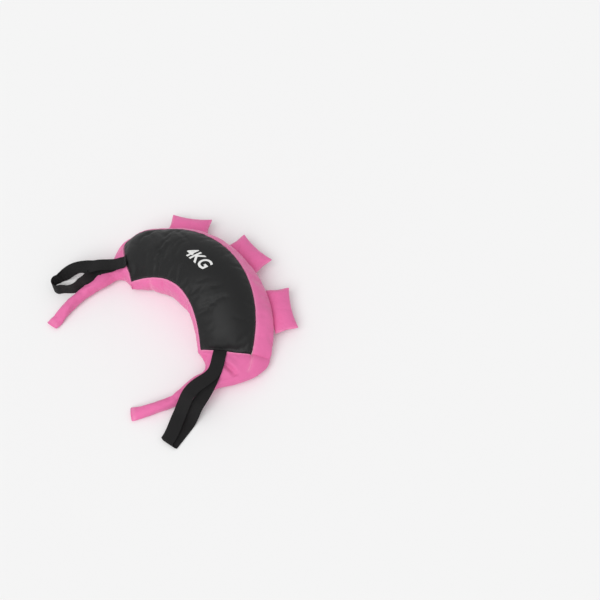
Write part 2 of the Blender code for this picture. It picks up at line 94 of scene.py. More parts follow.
def seen_directly(nodes, links):
    """1 for rays from the camera or off a shiny surface, 0 for the light that falls on things."""
    rays = nodes.new("ShaderNodeLightPath")
    seen = rays.outputs["Is Camera Ray"]
    for kind in ("Is Glossy Ray", "Is Transmission Ray"):
        either = nodes.new("ShaderNodeMath")
        either.operation = "MAXIMUM"
        links.new(seen, either.inputs[0])
        links.new(rays.outputs[kind], either.inputs[1])
        seen = either.outputs[0]
    return seen


def light_the_room():
    world = bpy.data.worlds.new("studio")
    world.use_nodes = True
    bpy.context.scene.world = world
    nodes, links = world.node_tree.nodes, world.node_tree.links
    sky = nodes["Background"]
    sky.inputs["Color"].default_value = (1.0, 1.0, 1.0, 1.0)
    sky.inputs["Strength"].default_value = SKY_LEVEL
    shown = nodes.new("ShaderNodeBackground")
    shown.inputs["Color"].default_value = (BACKGROUND, BACKGROUND, BACKGROUND, 1.0)
    choose = nodes.new("ShaderNodeMixShader")
    links.new(seen_directly(nodes, links), choose.inputs[0])
    links.new(sky.outputs[0], choose.inputs[1])
    links.new(shown.outputs[0], choose.inputs[2])
    links.new(choose.outputs[0], nodes["World Output"].inputs["Surface"])
    sun = bpy.data.lights.new("wide_lamp", "SUN")
    sun.energy = KEY_LEVEL
    sun.angle = radians(KEY_SOFTNESS)
    lamp = bpy.data.objects.new("wide_lamp", sun)
    lamp.rotation_euler = [radians(a) for a in KEY_TILT]
    bpy.context.scene.collection.objects.link(lamp)


light_the_room()
bpy.context.scene.view_settings.view_transform = "Standard"
print("sky", SKY_LEVEL, "lamp", KEY_LEVEL)

# %% Floor
FLOOR_HALF = 12.0
FLOOR_ROUGHNESS = 0.9


def lay_floor():
    bm = bmesh.new()
    bmesh.ops.create_grid(bm, x_segments=1, y_segments=1, size=FLOOR_HALF)
    mesh = bpy.data.meshes.new("floor")
    bm.to_mesh(mesh)
    bm.free()
    floor = bpy.data.objects.new("floor", mesh)
    bpy.context.scene.collection.objects.link(floor)
    paint = bpy.data.materials.new("studio_floor")
    paint.use_nodes = True
    shader = paint.node_tree.nodes["Principled BSDF"]
    shader.inputs["Base Color"].default_value = (BACKGROUND, BACKGROUND, BACKGROUND, 1.0)
    shader.inputs["Roughness"].default_value = FLOOR_ROUGHNESS
    shader.inputs["Specular IOR Level"].default_value = 0.0
    mesh.materials.append(paint)


lay_floor()
print("floor", 2.0 * FLOOR_HALF, "m wide")

# %% [markdown]
# The bag is drawn the way its pattern was cut. A middle line runs along the crescent, and at
# every few millimetres of it stands one closed outline: over the top panel, down the outer
# wall, under the base and up the inner wall. The sizes are the same as in the working model,
# so the cloth lands exactly where the solids are.

# %% Sizes of the crescent
PANEL_HALF_LENGTH = 0.249
BEND_RADIUS_MIDDLE = 0.235
BEND_RADIUS_END = 0.418
PANEL_WIDTH_MIDDLE = 0.190
PANEL_WIDTH_END = 0.150
SEAM_HEIGHT_MIDDLE = 0.128
SEAM_HEIGHT_END = 0.050
CROWN_MIDDLE = 0.032
CROWN_END = 0.022
INNER_BULGE = 0.011
BASE_OUTSET = 0.014
BASE_INSET = 0.010
OUTER_BULGE = {-1: 0.010, 0: 0.026, 1: 0.044}
END_LENGTH = {-1: 0.072, 1: 0.100}
END_TURN = {-1: 34.0, 1: 47.0}
END_BLUNTNESS = {-1: 0.7, 1: 1.0}
CLOTH = 0.0015
GAP = 0.0003

print("panel", 2.0 * PANEL_HALF_LENGTH, "m along its middle and", PANEL_WIDTH_MIDDLE, "m wide there")

# %% [markdown]
# The tails are the grips. Each starts as wide as the mouth of the bag, tapers to a round that
# a hand closes on, and ends flat, because that is how a stuffed tube is sewn shut. They lie on
# the floor and curl inwards, and the two differ a little, as on the real bag.

# %% Sizes of the tails
TAIL_LENGTH = 0.218
TAIL_ROOT = {-1: 0.030, 1: 0.035}
TAIL_ROOT_HALF_HEIGHT = 0.024
TAIL_GRIP = 0.0165
TAIL_TIP_HALF_WIDTH = {-1: 0.0185, 1: 0.0205}
TAIL_TIP_HALF_HEIGHT = 0.0075
TAIL_TAPER = 0.110
TAIL_TURN = {-1: 16.0, 1: 26.0}
TAIL_SEAT = radians(20.0)
TAIL_CLEARANCE = 0.0007
FLOOR_CLEARANCE = 0.0005
MOUTH_CORNERS = (135.0, 45.0, -40.0, -140.0)
SIDES = {-1: "left", 1: "right"}
print("tails", TAIL_LENGTH, "m long,", 2.0 * TAIL_GRIP, "m thick at the grip")

# %% [markdown]
# Everything that follows is a function of two places: the distance s along the middle line,
# zero in the middle of the bag and positive towards the right arm, and a share round the
# outline. Formulas keep every piece in step when a size is changed.

# %% Middle line of the bag
UP = np.array([0.0, 0.0, 1.0])
WALK_STEPS = 60
WALK = (np.arange(WALK_STEPS) + 0.5) / WALK_STEPS


def mix(a, b, share):
    return a + (b - a) * share


def smooth(share):
    """0 to 1 with a flat start and a flat end."""
    share = np.clip(share, 0.0, 1.0)
    return share * share * (3.0 - 2.0 * share)


def side_of(s):
    return -1 if s < 0.0 else 1


def past_panel(s):
    """0 up to the end of the black panel, then up to 1 at the mouth of the tail."""
    length = np.where(np.asarray(s) < 0.0, END_LENGTH[-1], END_LENGTH[1])
    return np.maximum((np.abs(s) - PANEL_HALF_LENGTH) / length, 0.0)


def heading(s):
    """Angle that the middle line has turned at distance s from the middle."""
    reach = np.minimum(np.abs(s), PANEL_HALF_LENGTH)
    change = 1.0 / BEND_RADIUS_END - 1.0 / BEND_RADIUS_MIDDLE
    turned = reach / BEND_RADIUS_MIDDLE + change * reach ** 3 / (3.0 * PANEL_HALF_LENGTH ** 2)
    end_turn = np.where(np.asarray(s) < 0.0, END_TURN[-1], END_TURN[1])
    turned = turned + np.radians(end_turn) * np.minimum(past_panel(s), 1.0)
    return np.sign(s) * turned


def middle_line(s):
    angles = heading(s * WALK)
    return np.array([np.cos(angles).mean() * s, -np.sin(angles).mean() * s, 0.0])


def outward(s):
    return np.array([sin(heading(s)), cos(heading(s)), 0.0])


for side in (-1, 1):
    print(SIDES[side], "arm ends at", np.round(middle_line(side * PANEL_HALF_LENGTH), 3))

# %% [markdown]
# One outline has four stretches that meet at the four long seams. The top is a flat arch, the
# two walls bulge, and the base is straight. Past the black panel the outline narrows into the
# round mouth where the tail is set in, so the same columns of points run on into the tail.

# %% One outline of the bag
TOP_STEPS = 48
WALL_STEPS = 30
BASE_STEPS = 20
AROUND = TOP_STEPS + 2 * WALL_STEPS + BASE_STEPS
OUTER_SEAM = TOP_STEPS
OUTER_BASE_SEAM = TOP_STEPS + WALL_STEPS
INNER_BASE_SEAM = OUTER_BASE_SEAM + BASE_STEPS


def shares(count):
    return np.arange(count) / count


def toward_end(s):
    return min(abs(s) / PANEL_HALF_LENGTH, 1.0) ** 2


def seam_height(s):
    return mix(SEAM_HEIGHT_MIDDLE, SEAM_HEIGHT_END, toward_end(s))


def panel_half_width(s):
    return mix(PANEL_WIDTH_MIDDLE, PANEL_WIDTH_END, toward_end(s)) / 2.0


def outer_wall(s, t):
    """Points of the outer wall: t is 0 at the top seam and 1 at the base seam."""
    bulge = mix(OUTER_BULGE[0], OUTER_BULGE[side_of(s)], smooth(abs(s) / PANEL_HALF_LENGTH))
    v = panel_half_width(s) + BASE_OUTSET * t + bulge * np.sin(pi * t)
    return np.stack([v, seam_height(s) * (1.0 - t)], -1)


def inner_wall(s, t):
    v = -panel_half_width(s) + BASE_INSET * t - INNER_BULGE * np.sin(pi * t)
    return np.stack([v, seam_height(s) * (1.0 - t)], -1)


def panel_outline(s):
    across = 2.0 * shares(TOP_STEPS) - 1.0
    crown = mix(CROWN_MIDDLE, CROWN_END, toward_end(s))
    top = np.stack([panel_half_width(s) * across, seam_height(s) + crown * (1.0 - across ** 2)], -1)
    t = shares(WALL_STEPS)
    outer, inner = outer_wall(s, t), inner_wall(s, 1.0 - t)
    base = mix(outer_wall(s, 1.0), inner_wall(s, 1.0), shares(BASE_STEPS)[:, None])
    return np.concatenate([top, outer, base, inner])


print("seam height", SEAM_HEIGHT_MIDDLE, "in the middle and", SEAM_HEIGHT_END, "at the ends")

# %% The outline past the black panel
def corner_angles():
    """Angle round the tail of every point of the outline, so that the cloth runs on into it."""
    ends = MOUTH_CORNERS[1:] + (MOUTH_CORNERS[0] - 360.0,)
    counts = (TOP_STEPS, WALL_STEPS, BASE_STEPS, WALL_STEPS)
    parts = [mix(a, b, shares(n)) for a, b, n in zip(MOUTH_CORNERS, ends, counts)]
    return np.radians(np.concatenate(parts))


ANGLES = corner_angles()


def bag_outline(s):
    """Outline at distance s: past the black panel it narrows to the mouth of the tail."""
    past = min(float(past_panel(s)), 1.0)
    body = panel_outline(s)
    if past <= 0.0:
        return body
    side = side_of(s)
    added = TAIL_CLEARANCE + CLOTH
    half_width = TAIL_ROOT[side] * cos(TAIL_SEAT) + added
    half_height = TAIL_ROOT_HALF_HEIGHT * cos(TAIL_SEAT) + added
    centre = TAIL_ROOT_HALF_HEIGHT + FLOOR_CLEARANCE
    mouth = np.stack([half_width * np.cos(ANGLES), centre + half_height * np.sin(ANGLES)], -1)
    narrowing = smooth(past ** END_BLUNTNESS[side])
    sinking = 1.0 - (1.0 - past) ** 2
    return np.stack([mix(body[:, 0], mouth[:, 0], narrowing), mix(body[:, 1], mouth[:, 1], sinking)], -1)


def bag_ring(s):
    flat = bag_outline(s)
    return middle_line(s) + flat[:, :1] * outward(s) + flat[:, 1:] * UP


print("outline of", AROUND, "points, height in the middle", bag_outline(0.0)[:, 1].max().round(3))

# %% [markdown]
# A tail is one more run of rings, now oval. Its middle line goes on turning, its size changes
# from the root over the grip to the flat tip, and its points keep the angles of the mouth, so
# the columns of the grid run straight on from the bag into the tail.

# %% One ring of a tail
def mouth_place(side):
    return side * (PANEL_HALF_LENGTH + END_LENGTH[side])


def tail_angle(side, a):
    start = abs(float(heading(mouth_place(side))))
    return start + radians(TAIL_TURN[side]) * np.maximum(a, 0.0) / TAIL_LENGTH


def tail_heading(side, a):
    angle = tail_angle(side, a)
    return np.stack([side * np.cos(angle), -np.sin(angle), 0.0 * angle], -1)


def tail_axis(side):
    reach = TAIL_ROOT[side] * sin(TAIL_SEAT)
    return middle_line(mouth_place(side)) + tail_heading(side, 0.0) * reach


def tail_sizes(side, a):
    """Half width and half height of the tail at distance a past the line it turns on."""
    shrunk = smooth(a / TAIL_TAPER)
    flat = smooth((a - TAIL_LENGTH + TAIL_TAPER) / TAIL_TAPER) ** 2
    wide = mix(mix(TAIL_ROOT[side], TAIL_GRIP, shrunk), TAIL_TIP_HALF_WIDTH[side], flat)
    high = mix(mix(TAIL_ROOT_HALF_HEIGHT, TAIL_GRIP, shrunk), TAIL_TIP_HALF_HEIGHT, flat)
    return wide, high


def tail_ring(side, a):
    wide, high = tail_sizes(side, a)
    middle = tail_axis(side) + tail_heading(side, a * WALK).mean(0) * a
    angle = tail_angle(side, a)
    across = np.array([side * sin(angle), cos(angle), 0.0])
    centre = middle + UP * (high + FLOOR_CLEARANCE)
    return centre + np.outer(wide * np.cos(ANGLES), across) + np.outer(high * np.sin(ANGLES), UP)


print("tail tips at", [np.round(tail_ring(side, TAIL_LENGTH).mean(0), 3) for side in (-1, 1)])

# %% [markdown]
# The three tabs are sewn on in a row, two thirds of the way down the outer wall. Only the line
# of each root is needed yet, because the wall is held along it when the bag is filled.

# %% Where the tabs are sewn on
TAB_PLACE_SHARE = 0.55
TAB_SHIFT = 0.012
TAB_DROP = 2.0 / 3.0
TAB_LENGTH = 0.128
TAB_DEPTH = 0.064
TAB_THICKNESS = 0.020
TAB_ROOT_RADIUS = 0.006
PANEL_STATIONS = 23


def tab_line(s, drop=TAB_DROP):
    v, z = outer_wall(s, drop)
    return middle_line(s) + outward(s) * v + UP * z


def tab_place(which):
    spacing = 2.0 * PANEL_HALF_LENGTH / PANEL_STATIONS
    wanted = which * PANEL_HALF_LENGTH * TAB_PLACE_SHARE + TAB_SHIFT
    return round((wanted + PANEL_HALF_LENGTH) / spacing) * spacing - PANEL_HALF_LENGTH


print("tab roots at s", [round(tab_place(which), 3) for which in (-1, 0, 1)])

# %% [markdown]
# The skin is one grid of points from tail tip to tail tip. Panels are cut out of it later, so
# neighbours share their edge points exactly and no seam can gape.

# %% The whole skin as one grid
PANEL_ROWS = 130
END_ROWS = {-1: 20, 1: 28}
TAIL_ROWS = 52
# Distance along the bag of every ring between the two mouths.
SKIN_S = np.concatenate([
    np.linspace(mouth_place(-1), -PANEL_HALF_LENGTH, END_ROWS[-1] + 1)[:-1],
    np.linspace(-PANEL_HALF_LENGTH, PANEL_HALF_LENGTH, PANEL_ROWS + 1),
    np.linspace(PANEL_HALF_LENGTH, mouth_place(1), END_ROWS[1] + 1)[1:],
])


def tail_places(side):
    root = -TAIL_ROOT[side] * sin(TAIL_SEAT)
    return np.linspace(root, TAIL_LENGTH, TAIL_ROWS + 1)[1:]


def skin_rows():
    """Every ring from the tip of the left tail to the tip of the right one."""
    rows = [tail_ring(-1, a) for a in tail_places(-1)[::-1]]
    rows += [bag_ring(s) for s in SKIN_S]
    rows += [tail_ring(1, a) for a in tail_places(1)]
    return np.array(rows)


FIRST_PANEL_ROW = TAIL_ROWS + END_ROWS[-1]
LAST_PANEL_ROW = FIRST_PANEL_ROW + PANEL_ROWS
skin = skin_rows()
print("skin grid", skin.shape, "low", skin.min((0, 1)).round(4), "high", skin.max((0, 1)).round(4))

# %% [markdown]
# A filled bag is never as smooth as its pattern. The filling pushes the cloth out, the
# stitches hold it back, and the difference shows as a soft swell with small puckers along
# every seam. Blender's cloth solver gives this for free: an evenly divided copy of the skin,
# with a little slack everywhere but at its seams, is blown up, and the way each point moved
# is carried back to the tidy grid. Sculpting it by hand would take longer and look combed.

# %% Small tools for grids
def row_at(s):
    """Row of the skin grid at distance s along the bag, with its fraction."""
    return TAIL_ROWS + np.interp(s, SKIN_S, np.arange(len(SKIN_S)))


def spot(grid, row, column):
    """Point of the grid between its vertices. Columns run round and start again."""
    low, left = int(np.floor(row)), int(np.floor(column))
    high = min(low + 1, len(grid) - 1)
    near, far = left % AROUND, (left + 1) % AROUND
    first = mix(grid[low, near], grid[low, far], column - left)
    second = mix(grid[high, near], grid[high, far], column - left)
    return mix(first, second, row - low)


def unit(vectors):
    return vectors / np.maximum(np.linalg.norm(vectors, axis=-1, keepdims=True), 1e-12)


def normals_of(grid):
    """Outward directions of a grid of points whose columns run round it."""
    return unit(np.cross(np.gradient(grid, axis=0), np.roll(grid, -1, 1) - np.roll(grid, 1, 1)))


def grid_faces(rows, columns, ring=False, start=0):
    """Four-sided faces over a grid, wound so that they look outward."""
    i, j = np.meshgrid(np.arange(rows - 1), np.arange(columns if ring else columns - 1), indexing="ij")
    k = (j + 1) % columns
    corners = [i * columns + j, (i + 1) * columns + j, (i + 1) * columns + k, i * columns + k]
    return (np.stack(corners, -1).reshape(-1, 4) + start).tolist()


def new_piece(name, points, faces):
    mesh = bpy.data.meshes.new(name)
    mesh.from_pydata(np.asarray(points).reshape(-1, 3).tolist(), [], faces)
    mesh.update()
    mesh.shade_smooth()
    piece = bpy.data.objects.new(name, mesh)
    bpy.context.scene.collection.objects.link(piece)
    return piece


def mesh_points(mesh):
    found = np.empty(len(mesh.vertices) * 3)
    mesh.vertices.foreach_get("co", found)
    return found.reshape(-1, 3)


def evaluated(piece):
    """The piece with its modifiers worked out."""
    bpy.context.view_layer.update()
    return piece.evaluated_get(bpy.context.evaluated_depsgraph_get())


# %% Places on the skin grid
def column_at(u):
    """Column of the grid: u runs from 0 to 1 over the top, on to 2 down the outer wall,
    and from 0 back to -1 down the inner wall."""
    if u > 1.0:
        return OUTER_SEAM + (u - 1.0) * WALL_STEPS
    return u * TOP_STEPS if u >= 0.0 else AROUND + u * WALL_STEPS


def grid_line(rows, columns, normals):
    """A line across the skin grid, and its outward directions, from rows and columns."""
    picked = [(spot(skin, r, c), spot(normals, r, c)) for r, c in zip(rows, columns)]
    return np.array([p for p, _ in picked]), unit(np.array([n for _, n in picked]))


def bump(grid, s, u, height, radius):
    """A soft hill, or a hollow where the height is below zero."""
    middle = spot(grid, row_at(s), column_at(u))
    gap = np.linalg.norm(grid - middle, axis=-1) / radius
    return grid + normals_of(grid) * (height * np.exp(-gap ** 2))[..., None]


# %% [markdown]
# The two straight ends of the black panel are not cut square in the photograph. At the near
# end the seam runs further out towards the hollow of the crescent and the top has sunk along
# it; at the far end the leather bulges over the edge. The rows of the grid slide along the
# skin to meet those seams, which keeps the surface and moves only the lines drawn on it.

# %% Settle the ends of the black panel
END_SLIDE = 0.012
SLIDE_FADE = 0.050
SLIDE_ROOM = 0.03
# Distance along the bag, place round it, height and radius of each hill or hollow.
END_HILLS = (
    (0.249, 0.50, -0.0100, 0.042),
    (0.215, 0.40, 0.0030, 0.045),
    (-0.205, 0.92, 0.0100, 0.048),
    (-0.236, 0.45, 0.0050, 0.040),
    (-0.288, 1.30, -0.0070, 0.034),
    (0.340, -0.60, -0.0030, 0.020),
)


def slide_over_top(side):
    """How far each column slides along the bag at one end of the black panel."""
    u = shares(TOP_STEPS)
    top = END_SLIDE * (1.0 - u ** 2) if side > 0 else -END_SLIDE * smooth(2.0 * u)
    outer = top[-1] * (1.0 - shares(WALL_STEPS))
    inner = top[0] * shares(WALL_STEPS)
    return np.concatenate([top, outer, np.zeros(BASE_STEPS), inner])


def slide_rows(grid):
    s = SKIN_S[:, None]
    shift = np.zeros((len(s), AROUND))
    for side in (-1, 1):
        fade = np.exp(-((s - side * PANEL_HALF_LENGTH) / SLIDE_FADE) ** 2)
        room = smooth((abs(mouth_place(side)) - np.abs(s)) / SLIDE_ROOM)
        shift += slide_over_top(side) * fade * room
    wanted = row_at(s + shift)
    low = np.minimum(np.floor(wanted).astype(int), len(grid) - 2)
    part = (wanted - low)[..., None]
    columns = np.arange(AROUND)[None, :]
    moved = mix(grid[low, columns], grid[low + 1, columns], part)
    return np.concatenate([grid[:TAIL_ROWS], moved, grid[TAIL_ROWS + len(s):]])


skin = slide_rows(skin)
for s, u, height, radius in END_HILLS:
    skin = bump(skin, s, u, height, radius)
print("skin after settling", skin.min((0, 1)).round(4), skin.max((0, 1)).round(4))

# %% [markdown]
# To the script a seam is a line of points. Holding, dipping, gathering and wear all depend on
# how far a point of the cloth lies from such a line, and a search tree finds that quickly.

# %% Distance to the sewn lines
LINE_SPACING = 0.002


def closest(points, line):
    """For each point, the number of the closest point of a line and the distance to it."""
    tree = KDTree(len(line))
    for k, point in enumerate(line):
        tree.insert(point, k)
    tree.balance()
    found = [tree.find(point) for point in points]
    return np.array([number for _, number, _ in found]), np.array([gap for _, _, gap in found])


def dense(line):
    """Points every couple of millimetres along a line of points."""
    line = np.asarray(line)
    found = [line[:1]]
    for a, b in zip(line, line[1:]):
        count = max(int(np.linalg.norm(b - a) / LINE_SPACING), 1)
        found.append(mix(a, b, (np.arange(count)[:, None] + 1.0) / count))
    return np.concatenate(found)


def dense_set(lines):
    return np.concatenate([dense(line) for line in lines])


INNER_WALL_SEAM = -0.167
PANEL_SEAM_COLUMNS = (0, OUTER_SEAM, OUTER_BASE_SEAM, INNER_BASE_SEAM)


def sewn_lines(grid):
    """The seams of the body as lines of points: four long ones, the two straight ends of
    the black panel, and the join in the inner wall."""
    rows = slice(FIRST_PANEL_ROW, LAST_PANEL_ROW + 1)
    lines = [grid[rows, column] for column in PANEL_SEAM_COLUMNS]
    for row in (FIRST_PANEL_ROW, LAST_PANEL_ROW):
        lines.append(grid[row, :OUTER_SEAM + 1])
    wall = np.arange(INNER_BASE_SEAM, AROUND + 1)
    lines.append(np.array([spot(grid, row_at(INNER_WALL_SEAM), column) for column in wall]))
    return lines


def tab_roots(drop=TAB_DROP, count=3):
    """A line of points on the wall along the root of each tab."""
    return [[tab_line(tab_place(which) + share * TAB_LENGTH / 2.0, drop)
             for share in np.linspace(-1.0, 1.0, count)] for which in (-1, 0, 1)]


print("sewn lines", len(sewn_lines(skin)), "with", len(dense_set(sewn_lines(skin))), "points")

# %% Blow the skin up
FRAMES = 20
CLOTH_MASS = 0.25
CLOTH_BENDING = 0.4
SHEAR_DIVISOR = 3.0


def closed_rings(name, rings):
    """A piece from rings of points, closed at both ends."""
    count, columns = rings.shape[:2]
    faces = grid_faces(count, columns, ring=True)
    last = (count - 1) * columns
    faces += [list(range(columns)), list(range(last, last + columns))[::-1]]
    return new_piece(name, rings, faces)


def even_copy(piece, voxel):
    """The same closed shape, evenly divided."""
    remesh = piece.modifiers.new("even", "REMESH")
    remesh.mode = "VOXEL"
    remesh.voxel_size = voxel
    mesh = bpy.data.meshes.new_from_object(evaluated(piece))
    bpy.data.objects.remove(piece)
    made = bpy.data.objects.new("even_copy", mesh)
    bpy.context.scene.collection.objects.link(made)
    return made


def add_group(piece, name, weights):
    group = piece.vertex_groups.new(name=name)
    for index in np.flatnonzero(weights > 0.01):
        group.add([int(index)], float(weights[index]), "REPLACE")


def blow_up(piece, held, sewn, pressure, slack, stiffness):
    """Runs the cloth solver for a few frames and returns where every point went. The cloth
    has slack all over, which fades to none at the sewn lines."""
    add_group(piece, "held", held)
    add_group(piece, "sewn", sewn)
    cloth = piece.modifiers.new("filling", "CLOTH")
    settings = cloth.settings
    settings.quality = 6
    settings.mass = CLOTH_MASS
    settings.tension_stiffness = stiffness
    settings.compression_stiffness = stiffness
    settings.shear_stiffness = stiffness / SHEAR_DIVISOR
    settings.bending_stiffness = CLOTH_BENDING
    settings.use_pressure = True
    settings.uniform_pressure_force = pressure
    settings.effector_weights.gravity = 0.0
    settings.vertex_group_mass = "held"
    settings.pin_stiffness = 1.0
    settings.vertex_group_shrink = "sewn"
    settings.shrink_min = -slack
    settings.shrink_max = 0.0
    cloth.point_cache.frame_start = 1
    cloth.point_cache.frame_end = FRAMES
    for step in range(1, FRAMES + 1):
        bpy.context.scene.frame_set(step)
    moved = mesh_points(evaluated(piece).data)
    piece.modifiers.clear()
    bpy.context.scene.frame_set(1)
    return moved


# %% Carry the moves back to the grid
def capped(moves, cap):
    """Moves no longer than the cap, eased so that none is cut off short."""
    length = np.linalg.norm(moves, axis=-1, keepdims=True)
    return moves * np.tanh(length / cap) * cap / np.maximum(length, 1e-9)


def carry(points, piece, moves):
    """Moves of the nearest spots of an even copy, shared out over its triangles."""
    tree = BVHTree.FromPolygons([v.co.copy() for v in piece.data.vertices],
                                [tuple(p.vertices) for p in piece.data.polygons])
    rest = mesh_points(piece.data)
    found = np.zeros_like(points)
    for k, point in enumerate(points):
        place, _, index, _ = tree.find_nearest(Vector(point))
        corners = list(piece.data.polygons[index].vertices)
        gaps = np.linalg.norm(rest[corners] - np.array(place), axis=1)
        weight = 1.0 / (gaps + 1e-5)
        found[k] = (moves[corners] * weight[:, None]).sum(0) / weight.sum()
    return found


# %% [markdown]
# The skin is held hard on the floor and along the roots of the tabs, firmly at the seams and
# hardly at all elsewhere. The moves are capped, so the filled bag keeps to the working model.

# %% Fill the bag
VOXEL = 0.0055
SWELL_CAP = 0.006
HELD_HEIGHT = 0.004
PUCKER_REACH = 0.006
PRESSURE = 3.2
SKIN_STIFFNESS = 40.0
SKIN_SLACK = 0.026
SOFT_HOLD = 0.03
SEAM_HOLD = 0.4
ROOT_REACH = 0.016
ROUNDING_ROUNDS = 3
ROUNDED_COLUMNS = 4


def seam_weights(gap):
    """How firmly points are held, and how much they count as sewn, by distance to a seam."""
    return np.where(gap < PUCKER_REACH, SEAM_HOLD, SOFT_HOLD), np.clip(1.5 - gap / PUCKER_REACH, 0.0, 1.0)


def swell(points, piece, rest, moved, cap):
    """The points of a grid after the moves of an even copy, which isn't needed any more."""
    moves = moved - rest
    print("cloth solver: points", len(rest), "furthest", round(float(np.abs(moves).max()), 4))
    carried = carry(points.reshape(-1, 3), piece, capped(moves, cap))
    bpy.data.objects.remove(piece)
    return points + carried.reshape(points.shape)


def fill_bag(grid):
    """The skin grid after filling."""
    piece = even_copy(closed_rings("skin_copy", grid), VOXEL)
    rest = mesh_points(piece.data)
    held, sewn = seam_weights(closest(rest, dense_set(sewn_lines(grid)))[1])
    held = np.where(closest(rest, dense_set(tab_roots()))[1] < ROOT_REACH, 1.0, held)
    held = np.where(rest[:, 2] < HELD_HEIGHT, 1.0, held)
    moved = blow_up(piece, held, sewn, PRESSURE, SKIN_SLACK, SKIN_STIFFNESS)
    return swell(grid, piece, rest, moved, SWELL_CAP)


def round_base(grid):
    """Rounds the two lower edges, which stay square only on the cutting table."""
    for _ in range(ROUNDING_ROUNDS):
        soft = (np.roll(grid, 1, 1) + np.roll(grid, -1, 1) + 2.0 * grid) / 4.0
        for edge in (OUTER_BASE_SEAM, INNER_BASE_SEAM):
            near = slice(edge - ROUNDED_COLUMNS, edge + ROUNDED_COLUMNS + 1)
            grid[:, near] = soft[:, near]
    return grid


skin = round_base(fill_bag(skin))

# %% [markdown]
# The solver cannot make a seam, because its points are further apart than a seam is wide.
# So the seams are cut in afterwards: the cloth dips along each one and the raw edges turn
# inward, which leaves the dark line that shows on the real bag. A few long folds, where the
# photographed cloth is slack, are pressed in the same way with a soft ridge beside each.

# %% Seams and folds
SEAM_DEPTH = 0.0026
SEAM_WIDTH = 0.0050
FADING_SEAM = 0.6
END_SEAM = ((0.2505, 1.005), (0.2630, 1.035), (0.2790, 1.110))


def long_seams(grid):
    """Long seams past the black panel, where they fade out towards the tails."""
    found = []
    for column in PANEL_SEAM_COLUMNS:
        found.append(grid[FIRST_PANEL_ROW - END_ROWS[-1]:FIRST_PANEL_ROW + 1, column])
        found.append(grid[LAST_PANEL_ROW:LAST_PANEL_ROW + END_ROWS[1] + 1, column])
    return found


def end_seam(side, count=24):
    """The seam that runs on from the outer corner of the black panel for a hand's width."""
    s, u = np.array(END_SEAM).T
    found = np.linspace(0.0, 1.0, count)
    s, u = [np.interp(found, np.linspace(0.0, 1.0, len(v)), v) for v in (s, u)]
    return np.array([spot(skin, row_at(side * a), column_at(b)) for a, b in zip(s, u)])


def pressed(grid, depths):
    """The grid with each point moved inward by its own depth."""
    return grid - normals_of(grid) * depths.reshape(grid.shape[:2])[..., None]


def sink(grid, lines, depth, width):
    """The grid with a dip along each line of points."""
    gap = closest(grid.reshape(-1, 3), dense_set(lines))[1]
    return pressed(grid, depth * np.exp(-(gap / width) ** 2))


# %% Gathers and folds
GATHER_DEPTH = 0.0011
GATHER_REACH = 0.013
GATHER_PITCHES = (0.019, 0.0128)
# Length of each slow wave and how strongly it acts.
GATHER_DRIFT = (0.117, 2.2)
GATHER_SWELL = (0.081, 0.4)
GATHER_RISE = 0.35
FINE_SHARE = 0.6
FINE_OFFSET = 1.3
FOLD_POINTS = 24
FOLD_START = 0.08
FOLD_FADE = 0.7
FOLD_RIDGE = 1.2


def gather(grid, lines):
    """Short uneven creases square to the seams, where the cloth was fed under the needle. The
    main wave drifts in and out of step, a finer one breaks it up, and both swell and fade."""
    place, gap = closest(grid.reshape(-1, 3), dense_set(lines))
    gap = gap / GATHER_REACH
    turn = place * LINE_SPACING * 2.0 * pi
    wave = np.sin(turn / GATHER_PITCHES[0] + GATHER_DRIFT[1] * np.sin(turn / GATHER_DRIFT[0]))
    wave += FINE_SHARE * np.sin(turn / GATHER_PITCHES[1] + FINE_OFFSET)
    rising = np.clip(gap / GATHER_RISE, 0.0, 1.0)
    swelling = 1.0 - GATHER_SWELL[1] + GATHER_SWELL[1] * np.sin(turn / GATHER_SWELL[0])
    return pressed(grid, -GATHER_DEPTH * wave * rising * np.exp(-gap ** 2) * swelling)


def fold(grid, start, end, depth, width):
    """A soft valley with a ridge on both sides, from one spot (s, column) to another."""
    line = [spot(grid, row_at(mix(start[0], end[0], t)), column_at(mix(start[1], end[1], t)))
            for t in shares(FOLD_POINTS)]
    place, gap = closest(grid.reshape(-1, 3), line)
    gap = gap / width
    place = place / (len(line) - 1)
    fade = np.sin(pi * np.clip(mix(FOLD_START, 1.0, place), 0.0, 1.0)) ** FOLD_FADE
    shape = (1.0 - FOLD_RIDGE * gap ** 2) * np.exp(-gap ** 2) * fade
    return pressed(grid, depth * shape)


# %% Press the folds and seams in
GROOVE_DROP = TAB_DROP - 0.045
GROOVE_DEPTH = 0.0036
GROOVE_WIDTH = 0.0050
